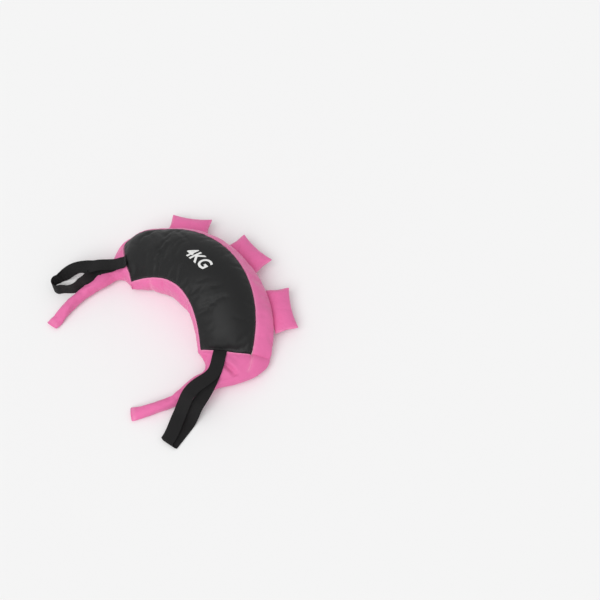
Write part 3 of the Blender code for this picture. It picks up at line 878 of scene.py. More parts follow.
# Start and end of each fold as (distance along the bag, place round it), depth and width.
FOLDS = (
    ((-0.190, 0.86), (-0.118, 0.26), 0.0030, 0.0100),
    ((-0.164, 0.84), (-0.070, 0.34), 0.0026, 0.0095),
    ((-0.222, 0.74), (-0.176, 0.34), 0.0022, 0.0090),
    ((-0.130, 0.90), (-0.040, 0.55), 0.0018, 0.0090),
    ((0.060, 0.985), (0.050, 0.78), 0.0018, 0.0060),
    ((0.150, 0.985), (0.140, 0.80), 0.0020, 0.0065),
    ((0.184, 0.97), (0.176, 0.60), 0.0022, 0.0080),
    ((-0.010, 0.985), (-0.016, 0.80), 0.0015, 0.0060),
    ((0.210, 0.10), (0.190, 0.34), 0.0016, 0.0080),
    ((0.282, 0.50), (0.300, 1.10), 0.0110, 0.0105),
    ((0.276, 0.20), (0.312, -0.30), 0.0040, 0.0100),
    ((0.292, 0.55), (0.322, 0.20), 0.0034, 0.0110),
    ((0.306, 0.95), (0.344, 0.80), 0.0028, 0.0090),
    ((0.262, 1.45), (0.292, 1.80), 0.0026, 0.0110),
    ((-0.262, 0.30), (-0.306, 0.10), 0.0030, 0.0090),
    ((-0.276, 0.66), (-0.312, 0.54), 0.0024, 0.0080),
    ((-0.258, 0.90), (-0.286, 1.10), 0.0020, 0.0080),
    ((0.020, 1.20), (0.050, 1.55), 0.0016, 0.0090),
    ((0.205, 1.25), (0.230, 1.70), 0.0022, 0.0100),
    ((-0.120, -0.30), (-0.090, -0.80), 0.0016, 0.0080),
    ((0.060, -0.20), (0.080, -0.75), 0.0016, 0.0080),
)
for first, last, depth, width in FOLDS:
    skin = fold(skin, first, last, depth, width)
skin = gather(skin, sewn_lines(skin))
skin = sink(skin, sewn_lines(skin), SEAM_DEPTH, SEAM_WIDTH)
skin = sink(skin, long_seams(skin), FADING_SEAM * SEAM_DEPTH, SEAM_WIDTH)
skin = sink(skin, [end_seam(-1), end_seam(1)], SEAM_DEPTH, SEAM_WIDTH)
skin = sink(skin, tab_roots(GROOVE_DROP, 9), GROOVE_DEPTH, GROOVE_WIDTH)
skin[..., 2] = np.maximum(skin[..., 2], FLOOR_CLEARANCE)
skin_normals = normals_of(skin)
print("folds", len(FOLDS), "skin low", skin[..., 2].min().round(4), "high", skin[..., 2].max().round(4))

# %% [markdown]
# Finishes. The top is synthetic leather: nearly black, satin, with a fine pebbled grain. The
# pink cloth is a tight plain weave, so it gets two crossed rows of threads a fraction of a
# millimetre wide and a little sheen. Webbing is the same idea at a much larger scale, with
# ribs along it. The weave follows the cut of each piece, so every piece carries a flat map
# of itself in metres, and the threads are drawn on that map.

# %% Tools for finishes
def finish(name, colour, roughness, sheen=0.0, specular=0.5):
    """A material with the plain values set on its shader."""
    made = bpy.data.materials.new(name)
    made.use_nodes = True
    tree = made.node_tree
    shader = tree.nodes["Principled BSDF"]
    shader.inputs["Base Color"].default_value = (*colour, 1.0)
    shader.inputs["Roughness"].default_value = roughness
    shader.inputs["Sheen Weight"].default_value = sheen
    shader.inputs["Specular IOR Level"].default_value = specular
    return made, tree.nodes, tree.links, shader


def math_node(nodes, links, kind, first, second):
    made = nodes.new("ShaderNodeMath")
    made.operation = kind
    for socket, value in zip(made.inputs, (first, second)):
        if isinstance(value, float):
            socket.default_value = value
        elif value is not None:
            links.new(value, socket)
    return made.outputs[0]


NOISE_DETAIL = 3.0


def noise(nodes, links, place, scale):
    made = nodes.new("ShaderNodeTexNoise")
    made.inputs["Scale"].default_value = scale
    made.inputs["Detail"].default_value = NOISE_DETAIL
    links.new(place, made.inputs["Vector"])
    return made.outputs["Fac"]


# %% Tone, height and wear
def shaded(nodes, links, shader, colour, amount, low, high):
    """Lets a 0 to 1 amount move the colour between a darker and a lighter tone."""
    ramp = nodes.new("ShaderNodeMapRange")
    ramp.inputs["To Min"].default_value = low
    ramp.inputs["To Max"].default_value = high
    links.new(amount, ramp.inputs["Value"])
    scaled = nodes.new("ShaderNodeVectorMath")
    scaled.operation = "SCALE"
    scaled.inputs[0].default_value = colour
    links.new(ramp.outputs["Result"], scaled.inputs["Scale"])
    links.new(scaled.outputs["Vector"], shader.inputs["Base Color"])


def raised(nodes, links, shader, layers):
    """Stacks height layers, each (height, depth in metres, strength), as bumps."""
    below = None
    for height, depth, strength in layers:
        bump = nodes.new("ShaderNodeBump")
        bump.inputs["Strength"].default_value = strength
        bump.inputs["Distance"].default_value = depth
        links.new(height, bump.inputs["Height"])
        if below is not None:
            links.new(below, bump.inputs["Normal"])
        below = bump.outputs["Normal"]
    links.new(below, shader.inputs["Normal"])


def worn(nodes, links, shader, colour, strength, spots):
    """Lets the base colour fade to a paler one along the seams, more in some spots."""
    edge = nodes.new("ShaderNodeAttribute")
    edge.attribute_name = "edge"
    patchy = math_node(nodes, links, "MULTIPLY", edge.outputs["Fac"], spots)
    blend = nodes.new("ShaderNodeMix")
    blend.data_type = "RGBA"
    links.new(math_node(nodes, links, "MULTIPLY", patchy, strength), blend.inputs[0])
    links.new(shader.inputs["Base Color"].links[0].from_socket, blend.inputs[6])
    blend.inputs[7].default_value = (*colour, 1.0)
    links.new(blend.outputs[2], shader.inputs["Base Color"])


# %% Threads and weaves
def cloth_map(nodes):
    made = nodes.new("ShaderNodeUVMap")
    made.uv_map = "cloth"
    return made.outputs["UV"]


def object_place(nodes):
    return nodes.new("ShaderNodeTexCoord").outputs["Object"]


def wave_across(nodes, links, place, pitch, axis):
    """A wave along one axis of the map, from -1 to 1, with one half turn to a thread."""
    split = nodes.new("ShaderNodeSeparateXYZ")
    links.new(place, split.inputs[0])
    turn = math_node(nodes, links, "MULTIPLY", split.outputs[axis], pi / pitch)
    return math_node(nodes, links, "SINE", turn, None)


def ribs_along(nodes, links, place, pitch):
    """Rounded ribs side by side: 1 on top of a rib and 0 between two."""
    return math_node(nodes, links, "ABSOLUTE", wave_across(nodes, links, place, pitch, 1), None)


def plain_weave(nodes, links, place, pitch):
    """Threads that pass over and under each other, as a height from 0 to 1."""
    waves = [wave_across(nodes, links, place, pitch, axis) for axis in (0, 1)]
    crossed = math_node(nodes, links, "MULTIPLY", waves[0], waves[1])
    over = math_node(nodes, links, "MULTIPLY_ADD", crossed, 0.5)
    over.node.inputs[2].default_value = 0.5
    return over


# %% [markdown]
# Synthetic leather is a pressed plastic skin. Its grain is small cells with sunken edges, so a
# Voronoi pattern read as distance to the edge draws it, with fine noise on top and a slow one
# that makes the gloss uneven. Near the seams handling has greyed it.

# %% Black synthetic leather
LEATHER_BLACK = (0.0088, 0.0090, 0.0093)
LEATHER_WORN = (0.045, 0.045, 0.046)
CELL_SCALE = 620.0
GRAIN_SCALE = 900.0


def make_leather():
    colour = LEATHER_BLACK
    made, nodes, links, shader = finish("black_leather", colour, 0.46, specular=0.22)
    place = object_place(nodes)
    cells = nodes.new("ShaderNodeTexVoronoi")
    cells.feature = "DISTANCE_TO_EDGE"
    cells.inputs["Scale"].default_value = CELL_SCALE
    links.new(place, cells.inputs["Vector"])
    cloud = noise(nodes, links, place, 9.0)
    grain = noise(nodes, links, place, GRAIN_SCALE)
    shaded(nodes, links, shader, colour, cloud, 0.85, 1.25)
    worn(nodes, links, shader, LEATHER_WORN, 0.55, noise(nodes, links, place, 70.0))
    rough = nodes.new("ShaderNodeMapRange")
    rough.inputs["To Min"].default_value = 0.40
    rough.inputs["To Max"].default_value = 0.54
    links.new(noise(nodes, links, place, 22.0), rough.inputs["Value"])
    links.new(rough.outputs["Result"], shader.inputs["Roughness"])
    raised(nodes, links, shader, [
        (cells.outputs["Distance"], 0.0006, 0.35),
        (grain, 0.0002, 0.25),
        (noise(nodes, links, place, 45.0), 0.0012, 0.30),
    ])
    return made


# %% [markdown]
# The pink nylon is a tight plain weave. Its threads are too fine to see one by one at arm's
# length, yet they break up the highlights, so they are drawn as height and, faintly, as tone.
# Where the cloth is folded and rubbed, at its sewn edges, the pink has paled.

# %% Pink nylon
PINK = (0.760, 0.150, 0.372)
PINK_WORN = (0.90, 0.36, 0.55)
NYLON_PITCH = 0.0007


def make_nylon():
    colour = PINK
    made, nodes, links, shader = finish("pink_nylon", colour, 0.60, sheen=0.25, specular=0.35)
    shader.inputs["Sheen Roughness"].default_value = 0.45
    place = object_place(nodes)
    flat = cloth_map(nodes)
    weave = plain_weave(nodes, links, flat, NYLON_PITCH)
    cloud = noise(nodes, links, place, 14.0)
    tone = math_node(nodes, links, "MULTIPLY_ADD", weave, 0.25)
    links.new(cloud, tone.node.inputs[2])
    shaded(nodes, links, shader, colour, tone, 0.86, 1.08)
    worn(nodes, links, shader, PINK_WORN, 0.60, noise(nodes, links, place, 90.0))
    raised(nodes, links, shader, [
        (weave, 0.00025, 0.5),
        (noise(nodes, links, place, 60.0), 0.0015, 0.30),
    ])
    return made


# %% [markdown]
# Webbing is woven narrow and thick. Its ribs run along the strap and its weft crosses them,
# and both are far coarser than the nylon's threads. The base cloth is a coarse plain weave.

# %% Webbing and base cloth
RIB_PITCH = 0.0024
PICK_PITCH = 0.0012
BASE_PITCH = 0.0011


def make_webbing():
    colour = (0.0085, 0.0082, 0.0085)
    made, nodes, links, shader = finish("black_webbing", colour, 0.72, sheen=0.05, specular=0.18)
    flat = cloth_map(nodes)
    ribs = ribs_along(nodes, links, flat, RIB_PITCH)
    picks = plain_weave(nodes, links, flat, PICK_PITCH)
    shaded(nodes, links, shader, colour, ribs, 0.75, 1.5)
    raised(nodes, links, shader, [(ribs, 0.0009, 0.6), (picks, 0.0005, 0.6)])
    return made


def make_base_cloth():
    colour = (0.018, 0.018, 0.020)
    made, nodes, links, shader = finish("black_base", colour, 0.70, specular=0.35)
    flat = cloth_map(nodes)
    weave = plain_weave(nodes, links, flat, BASE_PITCH)
    shaded(nodes, links, shader, colour, weave, 0.75, 1.4)
    raised(nodes, links, shader, [(weave, 0.0005, 0.6)])
    return made


# %% [markdown]
# Thread is twisted, which a very fine noise suggests. Print, liner, granules and foam are matt,
# and each gets lumps of its own size: a plain colour alone would look like plastic.

# %% Thread, print and what is inside
def make_thread(name, colour):
    made, nodes, links, shader = finish(name, colour, 0.55, sheen=0.2)
    place = object_place(nodes)
    twist = noise(nodes, links, place, 1500.0)
    shaded(nodes, links, shader, colour, twist, 0.8, 1.2)
    raised(nodes, links, shader, [(twist, 0.0003, 0.5)])
    return made


def make_print():
    colour = (0.80, 0.80, 0.79)
    made, nodes, links, shader = finish("white_print", colour, 0.42)
    place = object_place(nodes)
    cloud = noise(nodes, links, place, 150.0)
    shaded(nodes, links, shader, colour, cloud, 0.90, 1.05)
    raised(nodes, links, shader, [(noise(nodes, links, place, 900.0), 0.0002, 0.3)])
    return made


def make_loose(name, colour, scale, depth):
    """Liner cloth, granules or foam: a matt body with its own coarse structure."""
    made, nodes, links, shader = finish(name, colour, 0.88)
    place = object_place(nodes)
    lumps = noise(nodes, links, place, scale)
    shaded(nodes, links, shader, colour, lumps, 0.7, 1.2)
    raised(nodes, links, shader, [(lumps, depth, 0.7)])
    return made


LEATHER = make_leather()
NYLON = make_nylon()
WEBBING = make_webbing()
BASE_CLOTH = make_base_cloth()
BLACK_THREAD = make_thread("black_thread", (0.030, 0.030, 0.032))
PINK_THREAD = make_thread("pink_thread", (0.72, 0.15, 0.36))
# The welt's pink is paler than the cloth's and its thread's: a painted highlight along the folded edge.
PAINTED_HIGHLIGHT_WELT = make_thread("pink_welt_painted_highlight", (0.84, 0.25, 0.47))
PRINT = make_print()
LINER = make_loose("liner_cloth", (0.62, 0.60, 0.55), 700.0, 0.0005)
GRANULES = make_loose("granules", (0.42, 0.36, 0.28), 260.0, 0.003)
FOAM = make_loose("foam", (0.78, 0.76, 0.70), 420.0, 0.002)
print("finishes", len(bpy.data.materials))

# %% [markdown]
# Each panel is a part of the tidy grid, with its edges turned in, one round of smoothing and
# the thickness of the cloth. The flat map that the weave needs comes from measuring along
# the grid lines, as a tape measure would on the real panel.

# %% Cut a panel out of the skin
def flat_map(piece, points, ring):
    """Writes the map of a grid piece: metres along it and metres round it."""
    wrapped = np.concatenate([points, points[:, :1]], 1) if ring else points
    along = np.linalg.norm(np.diff(points, axis=0), axis=-1).mean(1)
    along = np.concatenate([[0.0], np.cumsum(along)])
    across = np.linalg.norm(np.diff(wrapped, axis=1), axis=-1)
    across = np.concatenate([np.zeros((len(points), 1)), np.cumsum(across, 1)], 1)
    across -= across.mean(1, keepdims=True)
    columns = points.shape[1]
    layer = piece.data.uv_layers.new(name="cloth")
    for face in piece.data.polygons:
        met = {v % columns for v in face.vertices}
        wide = ring and {0, columns - 1} <= met
        for loop in face.loop_indices:
            i, j = divmod(piece.data.loops[loop].vertex_index, columns)
            column = columns if wide and j == 0 else j
            layer.data[loop].uv = (along[i], across[i, column])


EDGE_REACH = 0.005


def mark_edges(piece, lines):
    """Writes how close each vertex lies to a sewn edge: 1 on it, then fading away."""
    gap = closest(mesh_points(piece.data), dense_set(lines))[1]
    layer = piece.data.attributes.new("edge", "FLOAT", "POINT")
    layer.data.foreach_set("value", np.exp(-(gap / EDGE_REACH) ** 2).astype(np.float32))


def thicken(piece):
    """One round of smoothing, then the thickness of the cloth, inward from its outer face."""
    softer = piece.modifiers.new("softer", "SUBSURF")
    softer.levels = 1
    softer.render_levels = 1
    wall = piece.modifiers.new("cloth", "SOLIDIFY")
    wall.thickness = CLOTH
    wall.offset = -1.0
    wall.use_even_offset = False


# %% [markdown]
# Real panels are sewn with their raw edges turned to the inside. Each panel gets such a strip,
# so that a look into the seam meets cloth and not the open edge of a surface.

# %% Turn the edges in and place a panel
TURNED_EDGE = 0.0035


def turn_in(points, normals, edges):
    """Adds a turned-in strip along the named edges of a grid of points."""
    for edge in edges:
        axis = 0 if edge in ("start", "end") else 1
        at, beside, order = (0, 1, 1) if edge in ("start", "low") else (-1, -2, -1)
        row, normal = points.take([at], axis), normals.take([at], axis)
        strip = row - normal * TURNED_EDGE + unit(row - points.take([beside], axis)) * GAP
        points = np.concatenate([strip, points][::order], axis)
        normals = np.concatenate([normal, normals][::order], axis)
    return points


def panel(name, first, last, material, slot, replaced, edges):
    """One sewn panel cut from the skin, from one column of it to another."""
    rows = slice(FIRST_PANEL_ROW, LAST_PANEL_ROW + 1)
    picked = [column % AROUND for column in range(first, last + 1)]
    points = turn_in(skin[rows][:, picked], skin_normals[rows][:, picked], edges)
    piece = new_piece(name, points, grid_faces(*points.shape[:2]))
    flat_map(piece, points, ring=False)
    mark_edges(piece, sewn_lines(skin))
    piece.data.materials.append(material)
    thicken(piece)
    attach(piece, "bag")
    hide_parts(replaced)
    print(name, len(piece.data.polygons), "faces")
    return piece


# %% The four panels of the body
LONG_EDGES = ("low", "high")
ALL_EDGES = ("start", "end", *LONG_EDGES)
# Name, first and last column, finish, slot, the solid it stands for, and the edges turned in.
PANELS = (
    ("top_panel_leather", 0, OUTER_SEAM, LEATHER, "black_leather", "top_panel", ALL_EDGES),
    ("outer_wall_cloth", OUTER_SEAM, OUTER_BASE_SEAM, NYLON, "pink_nylon", "outer_gusset", LONG_EDGES),
    ("base_cloth", OUTER_BASE_SEAM, INNER_BASE_SEAM, BASE_CLOTH, "black_base", "base_panel", ALL_EDGES),
    ("inner_wall_cloth", INNER_BASE_SEAM, AROUND, NYLON, "pink_nylon", "inner_gusset", LONG_EDGES),
)
panels = {entry[0]: panel(*entry) for entry in PANELS}

# %% [markdown]
# Past the black panel the pink cloth narrows and runs on as the tail, the main grip. The two
# are sewn from one run of cloth here, and the mesh turns softly where the stuffed tail bends
# in its mouth. The tip is pressed flat and closed with a row of stitches.

# %% End and tail in one piece
PRESSED_TIP = (0.30, 0.45, 0.75, 0.92)
LAP_DEPTH = 0.0003
LAP_REACH = 0.0025


def press_tip(points, tip):
    """Flattens the last rings of a tail, where its two layers are sewn together."""
    points = points.copy()
    step = 1 if tip == 0 else -1
    for k, share in enumerate(PRESSED_TIP):
        ring = points[tip + step * k]
        middle = ring[:, 2].mean()
        ring[:, 2] = middle + (ring[:, 2] - middle) * share
    return points


def tip_row(side):
    return 2 if side < 0 else len(skin) - 3


def end_and_tail(side):
    """Cloth from the black panel's end to the tip of the tail."""
    rows = slice(0, FIRST_PANEL_ROW + 1) if side < 0 else slice(LAST_PANEL_ROW, len(skin))
    points = skin[rows]
    normals = skin_normals[rows]
    tip, root = (0, len(points) - 1) if side < 0 else (len(points) - 1, 0)
    points = press_tip(points, tip)
    depth = np.full((AROUND, 1), LAP_DEPTH)
    depth[:OUTER_SEAM + 1] = TURNED_EDGE
    depth[OUTER_BASE_SEAM:INNER_BASE_SEAM + 1] = TURNED_EDGE
    reach = np.where(depth > LAP_DEPTH, 0.0, LAP_REACH)
    beside = points[root - 1 if side < 0 else root + 1]
    turned = points[root] - normals[root] * depth + unit(points[root] - beside) * reach
    order = [points, turned[None]] if side < 0 else [turned[None], points]
    points = np.concatenate(order)
    faces = grid_faces(*points.shape[:2], ring=True)
    name = SIDES[side] + "_tail_cloth"
    last = np.arange(AROUND) + (0 if side < 0 else (len(points) - 1) * AROUND)
    faces.append(last.tolist() if side < 0 else last[::-1].tolist())
    piece = new_piece(name, points, faces)
    flat_map(piece, points, ring=True)
    panel_end = skin[FIRST_PANEL_ROW if side < 0 else LAST_PANEL_ROW, :OUTER_SEAM + 1]
    mark_edges(piece, [panel_end, end_seam(side), skin[tip_row(side)]])
    piece.data.materials.append(NYLON)
    thicken(piece)
    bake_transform(piece)
    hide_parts(SIDES[side] + "_end_section", SIDES[side] + "_tail_sleeve")
    print(name, len(piece.data.polygons), "faces")
    return piece


tails = {side: end_and_tail(side) for side in (-1, 1)}

# %% [markdown]
# Where the pink cloth is folded over to be sewn, its edge stands up as a thin round welt that
# catches the light. It follows the black panel on all four sides and runs on over the ends.
# A slim tube along the grid lines gives it; its ends run down to nothing in the cloth. Its pink is a
# painted highlight.

# %% Welts along the seams
WELT_RADIUS = 0.0011
WELT_SIDES = 8
WELT_OUT = 0.38
WELT_PAST = 0.5
WELT_LIFT = 0.4
WELT_RUN_OUT = 0.04
WELT_THINNEST = 0.02
LONG_WELT_POINTS = 520
END_WELT_POINTS = 150


def welt(line, normals):
    """Points and faces of a slim tube along a line, run out at both ends."""
    travel = unit(np.gradient(line, axis=0))
    side = unit(np.cross(normals, travel))
    up = np.cross(travel, side)
    angles = 2.0 * pi * shares(WELT_SIDES)[None, :, None]
    place = np.linspace(0.0, 1.0, len(line))
    to_end = np.minimum(place, 1.0 - place)
    size = WELT_RADIUS * np.sqrt(np.clip(to_end / WELT_RUN_OUT, WELT_THINNEST, 1.0))
    middle = (line + up * (WELT_LIFT * size)[:, None])[:, None]
    spokes = np.cos(angles) * side[:, None] + np.sin(angles) * up[:, None]
    points = middle + size[:, None, None] * spokes
    return points.reshape(-1, 3), grid_faces(len(line), WELT_SIDES, ring=True)


def welt_lines():
    """Lines beside the seams, each with the directions out of the skin along it."""
    rows = np.linspace(FIRST_PANEL_ROW, LAST_PANEL_ROW, LONG_WELT_POINTS)
    columns = np.linspace(0.0, OUTER_SEAM, END_WELT_POINTS)
    lines = []
    for column in (OUTER_SEAM + WELT_OUT, AROUND - WELT_OUT):
        lines.append(grid_line(rows, np.full(LONG_WELT_POINTS, column), skin_normals))
    for row in (FIRST_PANEL_ROW - WELT_PAST, LAST_PANEL_ROW + WELT_PAST):
        lines.append(grid_line(np.full(END_WELT_POINTS, row), columns, skin_normals))
    for side in (-1, 1):
        seam = end_seam(side)
        at = closest(seam, skin.reshape(-1, 3))[0]
        lines.append((seam, skin_normals.reshape(-1, 3)[at]))
    return lines


def joined(parts):
    """Points and faces of several small meshes as those of one."""
    points, faces = [], []
    for more, sides in parts:
        faces += [[corner + len(points) for corner in side] for side in sides]
        points += list(more)
    return points, faces


beside_seams = welt_lines()
welts = new_piece("seam_welts", *joined(welt(line, ups) for line, ups in beside_seams))
# The welts carry the paler pink, a painted highlight along the seams.
welts.data.materials.append(PAINTED_HIGHLIGHT_WELT)
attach(welts, "bag")
print("welts", len(beside_seams), "faces", len(welts.data.polygons))

# %% [markdown]
# Each loop is one length of webbing, folded back on itself and sewn in the end seam, so it
# has a lower run that lies on the tail and an upper run that arches over it. Limp webbing
# never stacks neatly: the two runs slip apart sideways. The lower run rests on whatever lies
# under it, so its height is felt for on the finished skin.

# %% What a loop lies on
WEBBING_WIDTH = 0.038
WEBBING_THICKNESS = 0.0016
LOOP_SET_IN = 0.014
LOOP_ROOT_GAP = 0.0008
LOOP_LANDING = 0.225
LOOP_TURN = {-1: 10.0, 1: 27.0}
SOFT_GAP = 0.0005
FELT_SPOTS = 7
skin_tree = BVHTree.FromPolygons([Vector(p) for p in skin.reshape(-1, 3)],
                                 grid_faces(*skin.shape[:2], ring=True))


def top_of_skin(x, y):
    hit = skin_tree.ray_cast(Vector((x, y, 1.0)), Vector((0.0, 0.0, -1.0)))[0]
    return 0.0 if hit is None else hit.z


def loop_heading(side, share):
    angle = abs(float(heading(PANEL_HALF_LENGTH))) + radians(LOOP_TURN[side]) * smooth(2.0 * share)
    return np.array([side * cos(angle), -sin(angle), 0.0])


def lying_height(side, along):
    """Height under the loop in the working model: the cloth end, the tail, then the floor."""
    root_reach = END_LENGTH[side] + TAIL_ROOT[side] * sin(TAIL_SEAT)
    end_top = SEAM_HEIGHT_END + CROWN_END
    tail_top = 2.0 * TAIL_ROOT_HALF_HEIGHT + FLOOR_CLEARANCE
    if along < END_LENGTH[side]:
        return mix(end_top, tail_top, 1.0 - (1.0 - along / END_LENGTH[side]) ** 2)
    held = TAIL_TAPER / 2.0
    past = along - root_reach
    top = 2.0 * float(tail_sizes(side, min(max(past, 0.0), held))[1]) + FLOOR_CLEARANCE
    return mix(top, 0.0, float(smooth((past - held) / (LOOP_LANDING - root_reach - held))))


def loop_start(side):
    fold_radius = WEBBING_THICKNESS + LOOP_ROOT_GAP / 2.0
    height = lying_height(side, fold_radius) + fold_radius + SOFT_GAP
    seam = middle_line(side * PANEL_HALF_LENGTH) - outward(side * PANEL_HALF_LENGTH) * LOOP_SET_IN
    return seam + UP * height + loop_heading(side, 0.0) * (fold_radius + SOFT_GAP)


def felt_height(place, across):
    """Highest spot of the skin under the width of the webbing."""
    reach = np.linspace(-0.5, 0.5, FELT_SPOTS) * WEBBING_WIDTH
    return max(top_of_skin(*(place + across * r)[:2]) for r in reach)


def eased(values, rounds=4):
    """Smooths a row of values without letting any of them drop."""
    floor_values = values
    for _ in range(rounds):
        inner = (values[:-2] + 2.0 * values[1:-1] + values[2:]) / 4.0
        values = np.maximum(np.concatenate([values[:1], inner, values[-1:]]), floor_values)
    return values


# %% Numbers of the two loops
# Where a value has two entries, -1 is the left loop and 1 the right one. A pair in an entry is
# for the lower and the upper run. Lengths are in metres and angles in degrees.
LOOP_TIP_RADIUS = 0.004
LOOP_CLEARANCE = 0.002
LOOP_REACH = {-1: 0.240, 1: 0.298}
LOOP_OPENING = {-1: 0.040, 1: 0.016}
LOOP_SAG = {-1: 0.65, 1: 1.0}
LOOP_SLIP = {-1: (-0.031, 0.027), 1: (-0.006, 0.026)}
LOOP_ROLL = {-1: (84.0, 68.0), 1: (0.0, 6.0)}
LOOP_ROLL_REACH = 0.30
LOOP_TIP_ROLL = {-1: 78.0, 1: 0.0}
LOOP_TIP_SLIP = {-1: (-0.015, 0.020), 1: (-0.006, 0.009)}
# Shares of the run where it starts to slip, has slipped, and starts to come back to the tip.
LOOP_OPENS = {-1: ((0.38, 0.64, 0.74), (0.42, 0.90, 0.92)), 1: ((0.22, 0.56, 0.66), (0.18, 0.54, 0.66))}
LOOP_LEAVES = 0.14
LOOP_SHARE_ACROSS = 0.41
ARCH_LEAN = 1.2
ARCH_POWER = 1.5
STANDS_FROM = 0.30
STANDS_OVER = 0.30
LOWER_RISE = 0.25
UPPER_DROP = 0.15
ROOT_TUCK = 0.006
ROOT_SINK = 0.0016
LOOP_STEPS = 72
FOLD_STEPS = 8
print("webbing", WEBBING_WIDTH, "wide, loops reach", LOOP_REACH)

# %% Route of a webbing loop
def loop_run(side, run, t, places, ways, planned):
    """One run of the loop: 0 is the lower one and 1 the upper one."""
    opens, opened, closes = LOOP_OPENS[side][run]
    closing = smooth((t - closes) / (1.0 - closes))
    slipped = smooth((t - opens) / (opened - opens)) * (1.0 - closing)
    slip = LOOP_SLIP[side][run] * slipped + LOOP_TIP_SLIP[side][run] * closing
    rolled = smooth((t - opens) / LOOP_ROLL_REACH) * (1.0 - closing)
    roll = radians(LOOP_ROLL[side][run]) * rolled + radians(LOOP_TIP_ROLL[side]) * closing
    middles, sides, lowest = [], [], []
    for k, way in enumerate(ways):
        level = np.cross(way, UP)
        middle = places[k] * (1.0, 1.0, 0.0) + level * slip[k]
        felt = felt_height(middle, level * cos(roll[k]))
        rest = felt + SOFT_GAP + WEBBING_THICKNESS / 2.0 + WEBBING_WIDTH / 2.0 * sin(roll[k])
        lowest.append(rest)
        middles.append(middle)
        sides.append(level * cos(roll[k]) + UP * sin(roll[k]))
    leaving = smooth(t / LOOP_LEAVES)
    apart = run * (WEBBING_THICKNESS + LOOP_ROOT_GAP)
    lowest = np.array(lowest) + apart - ROOT_SINK * (1.0 - leaving)
    heights = eased(np.maximum(mix(lowest, planned, leaving), lowest))
    return np.array(middles) + heights[:, None] * UP, np.array(sides)


def half_turn(first, last, bulge, count):
    """Points between two ends of a fold, swung out by the bulge half way."""
    turns = pi * np.arange(1, count) / count
    return [mix(first, last, (1.0 - cos(a)) / 2.0) + bulge * sin(a) for a in turns]


def loop_route(side):
    """Closed middle line of the webbing and its direction across, station by station."""
    slid = abs(slide_over_top(side)[int(LOOP_SHARE_ACROSS * TOP_STEPS)])
    start = loop_start(side) + loop_heading(side, 0.0) * (slid - ROOT_TUCK)
    tip_spread = LOOP_TIP_SLIP[side][1] - LOOP_TIP_SLIP[side][0]
    tip_radius = tip_spread * sin(radians(LOOP_TIP_ROLL[side])) / 2.0
    step = (LOOP_REACH[side] - slid - tip_radius) / LOOP_STEPS
    apart = WEBBING_THICKNESS + LOOP_ROOT_GAP
    t = np.arange(LOOP_STEPS + 1) / LOOP_STEPS
    ways = [loop_heading(side, share) for share in t]
    places = start + np.concatenate([np.zeros((1, 3)), np.cumsum(ways[:-1], 0) * step])
    under = np.array([lying_height(side, slid + k * step) for k in range(LOOP_STEPS + 1)])
    planned = under + LOOP_CLEARANCE + WEBBING_THICKNESS / 2.0
    arch = LOOP_OPENING[side] * LOOP_SAG[side] * np.sin(pi * t ** ARCH_LEAN) ** ARCH_POWER
    rise = mix(apart, 2.0 * LOOP_TIP_RADIUS, t) + arch
    standing = sin(radians(LOOP_ROLL[side][0])) * smooth((t - STANDS_FROM) / STANDS_OVER)
    heights = planned + LOWER_RISE * rise * standing, planned + rise * (1.0 - UPPER_DROP * standing)
    lower, lower_sides = loop_run(side, 0, t, places, ways, heights[0])
    upper, upper_sides = loop_run(side, 1, t, places, ways, heights[1])
    upper[:, 2] = np.maximum(upper[:, 2], lower[:, 2] + apart * (1.0 - standing))
    reach = np.linalg.norm(np.cross(upper[-1] - lower[-1], lower_sides[-1])) / 2.0
    folded = half_turn(lower[-1], upper[-1], ways[-1] * reach, FOLD_STEPS)
    tip_sides = half_turn(lower_sides[-1], upper_sides[-1], ways[-1] * 0.0, FOLD_STEPS)
    sewn = half_turn(upper[0], lower[0], -ways[0] * apart / 2.0, FOLD_STEPS // 2)
    route = list(lower) + folded + list(upper[::-1]) + sewn
    sides = list(lower_sides) + tip_sides + list(upper_sides[::-1]) + [lower_sides[0]] * len(sewn)
    return np.array(route), np.array(sides)


# %% [markdown]
# The webbing itself is one flat section, with a rounded selvedge and shallow ribs, carried along that
# route. Its two ends meet in the seam and are welded.

# %% Weave the loops
RIB_COUNT = 15
RIB_HEIGHT = 0.00018
RIB_POINTS = 4
SELVEDGE = 0.0012
WELD_GAP = 0.00001


def webbing_section():
    """Flat section with a rounded selvedge and shallow ribs, as (across, up) points."""
    across = np.linspace(-0.5, 0.5, RIB_COUNT * RIB_POINTS + 1)
    edge = np.clip((0.5 - np.abs(across)) * WEBBING_WIDTH / SELVEDGE, 0.0, 1.0) ** 0.5
    up = WEBBING_THICKNESS / 2.0 * edge
    up = up - RIB_HEIGHT * (1.0 - np.abs(np.cos(pi * RIB_COUNT * (across + 0.5)))) * edge
    top = np.stack([across * WEBBING_WIDTH, up], -1)
    return np.concatenate([top, (top * (1.0, -1.0))[::-1][1:-1]])


def strip_map(piece, points, section):
    """Map of the webbing: metres along its run and metres across it."""
    along = np.linalg.norm(np.diff(points, axis=0), axis=-1).mean(1)
    along = np.concatenate([[0.0], np.cumsum(along)])
    layer = piece.data.uv_layers.new(name="cloth")
    for loop in piece.data.loops:
        i, j = divmod(loop.vertex_index, points.shape[1])
        layer.data[loop.index].uv = (along[i], section[j, 0])


def turn_outward(piece, weld_gap):
    """Welds points that lie within the gap, then turns all faces outward."""
    bm = bmesh.new()
    bm.from_mesh(piece.data)
    if weld_gap:
        bmesh.ops.remove_doubles(bm, verts=bm.verts, dist=weld_gap)
    bmesh.ops.recalc_face_normals(bm, faces=bm.faces)
    bm.to_mesh(piece.data)
    bm.free()


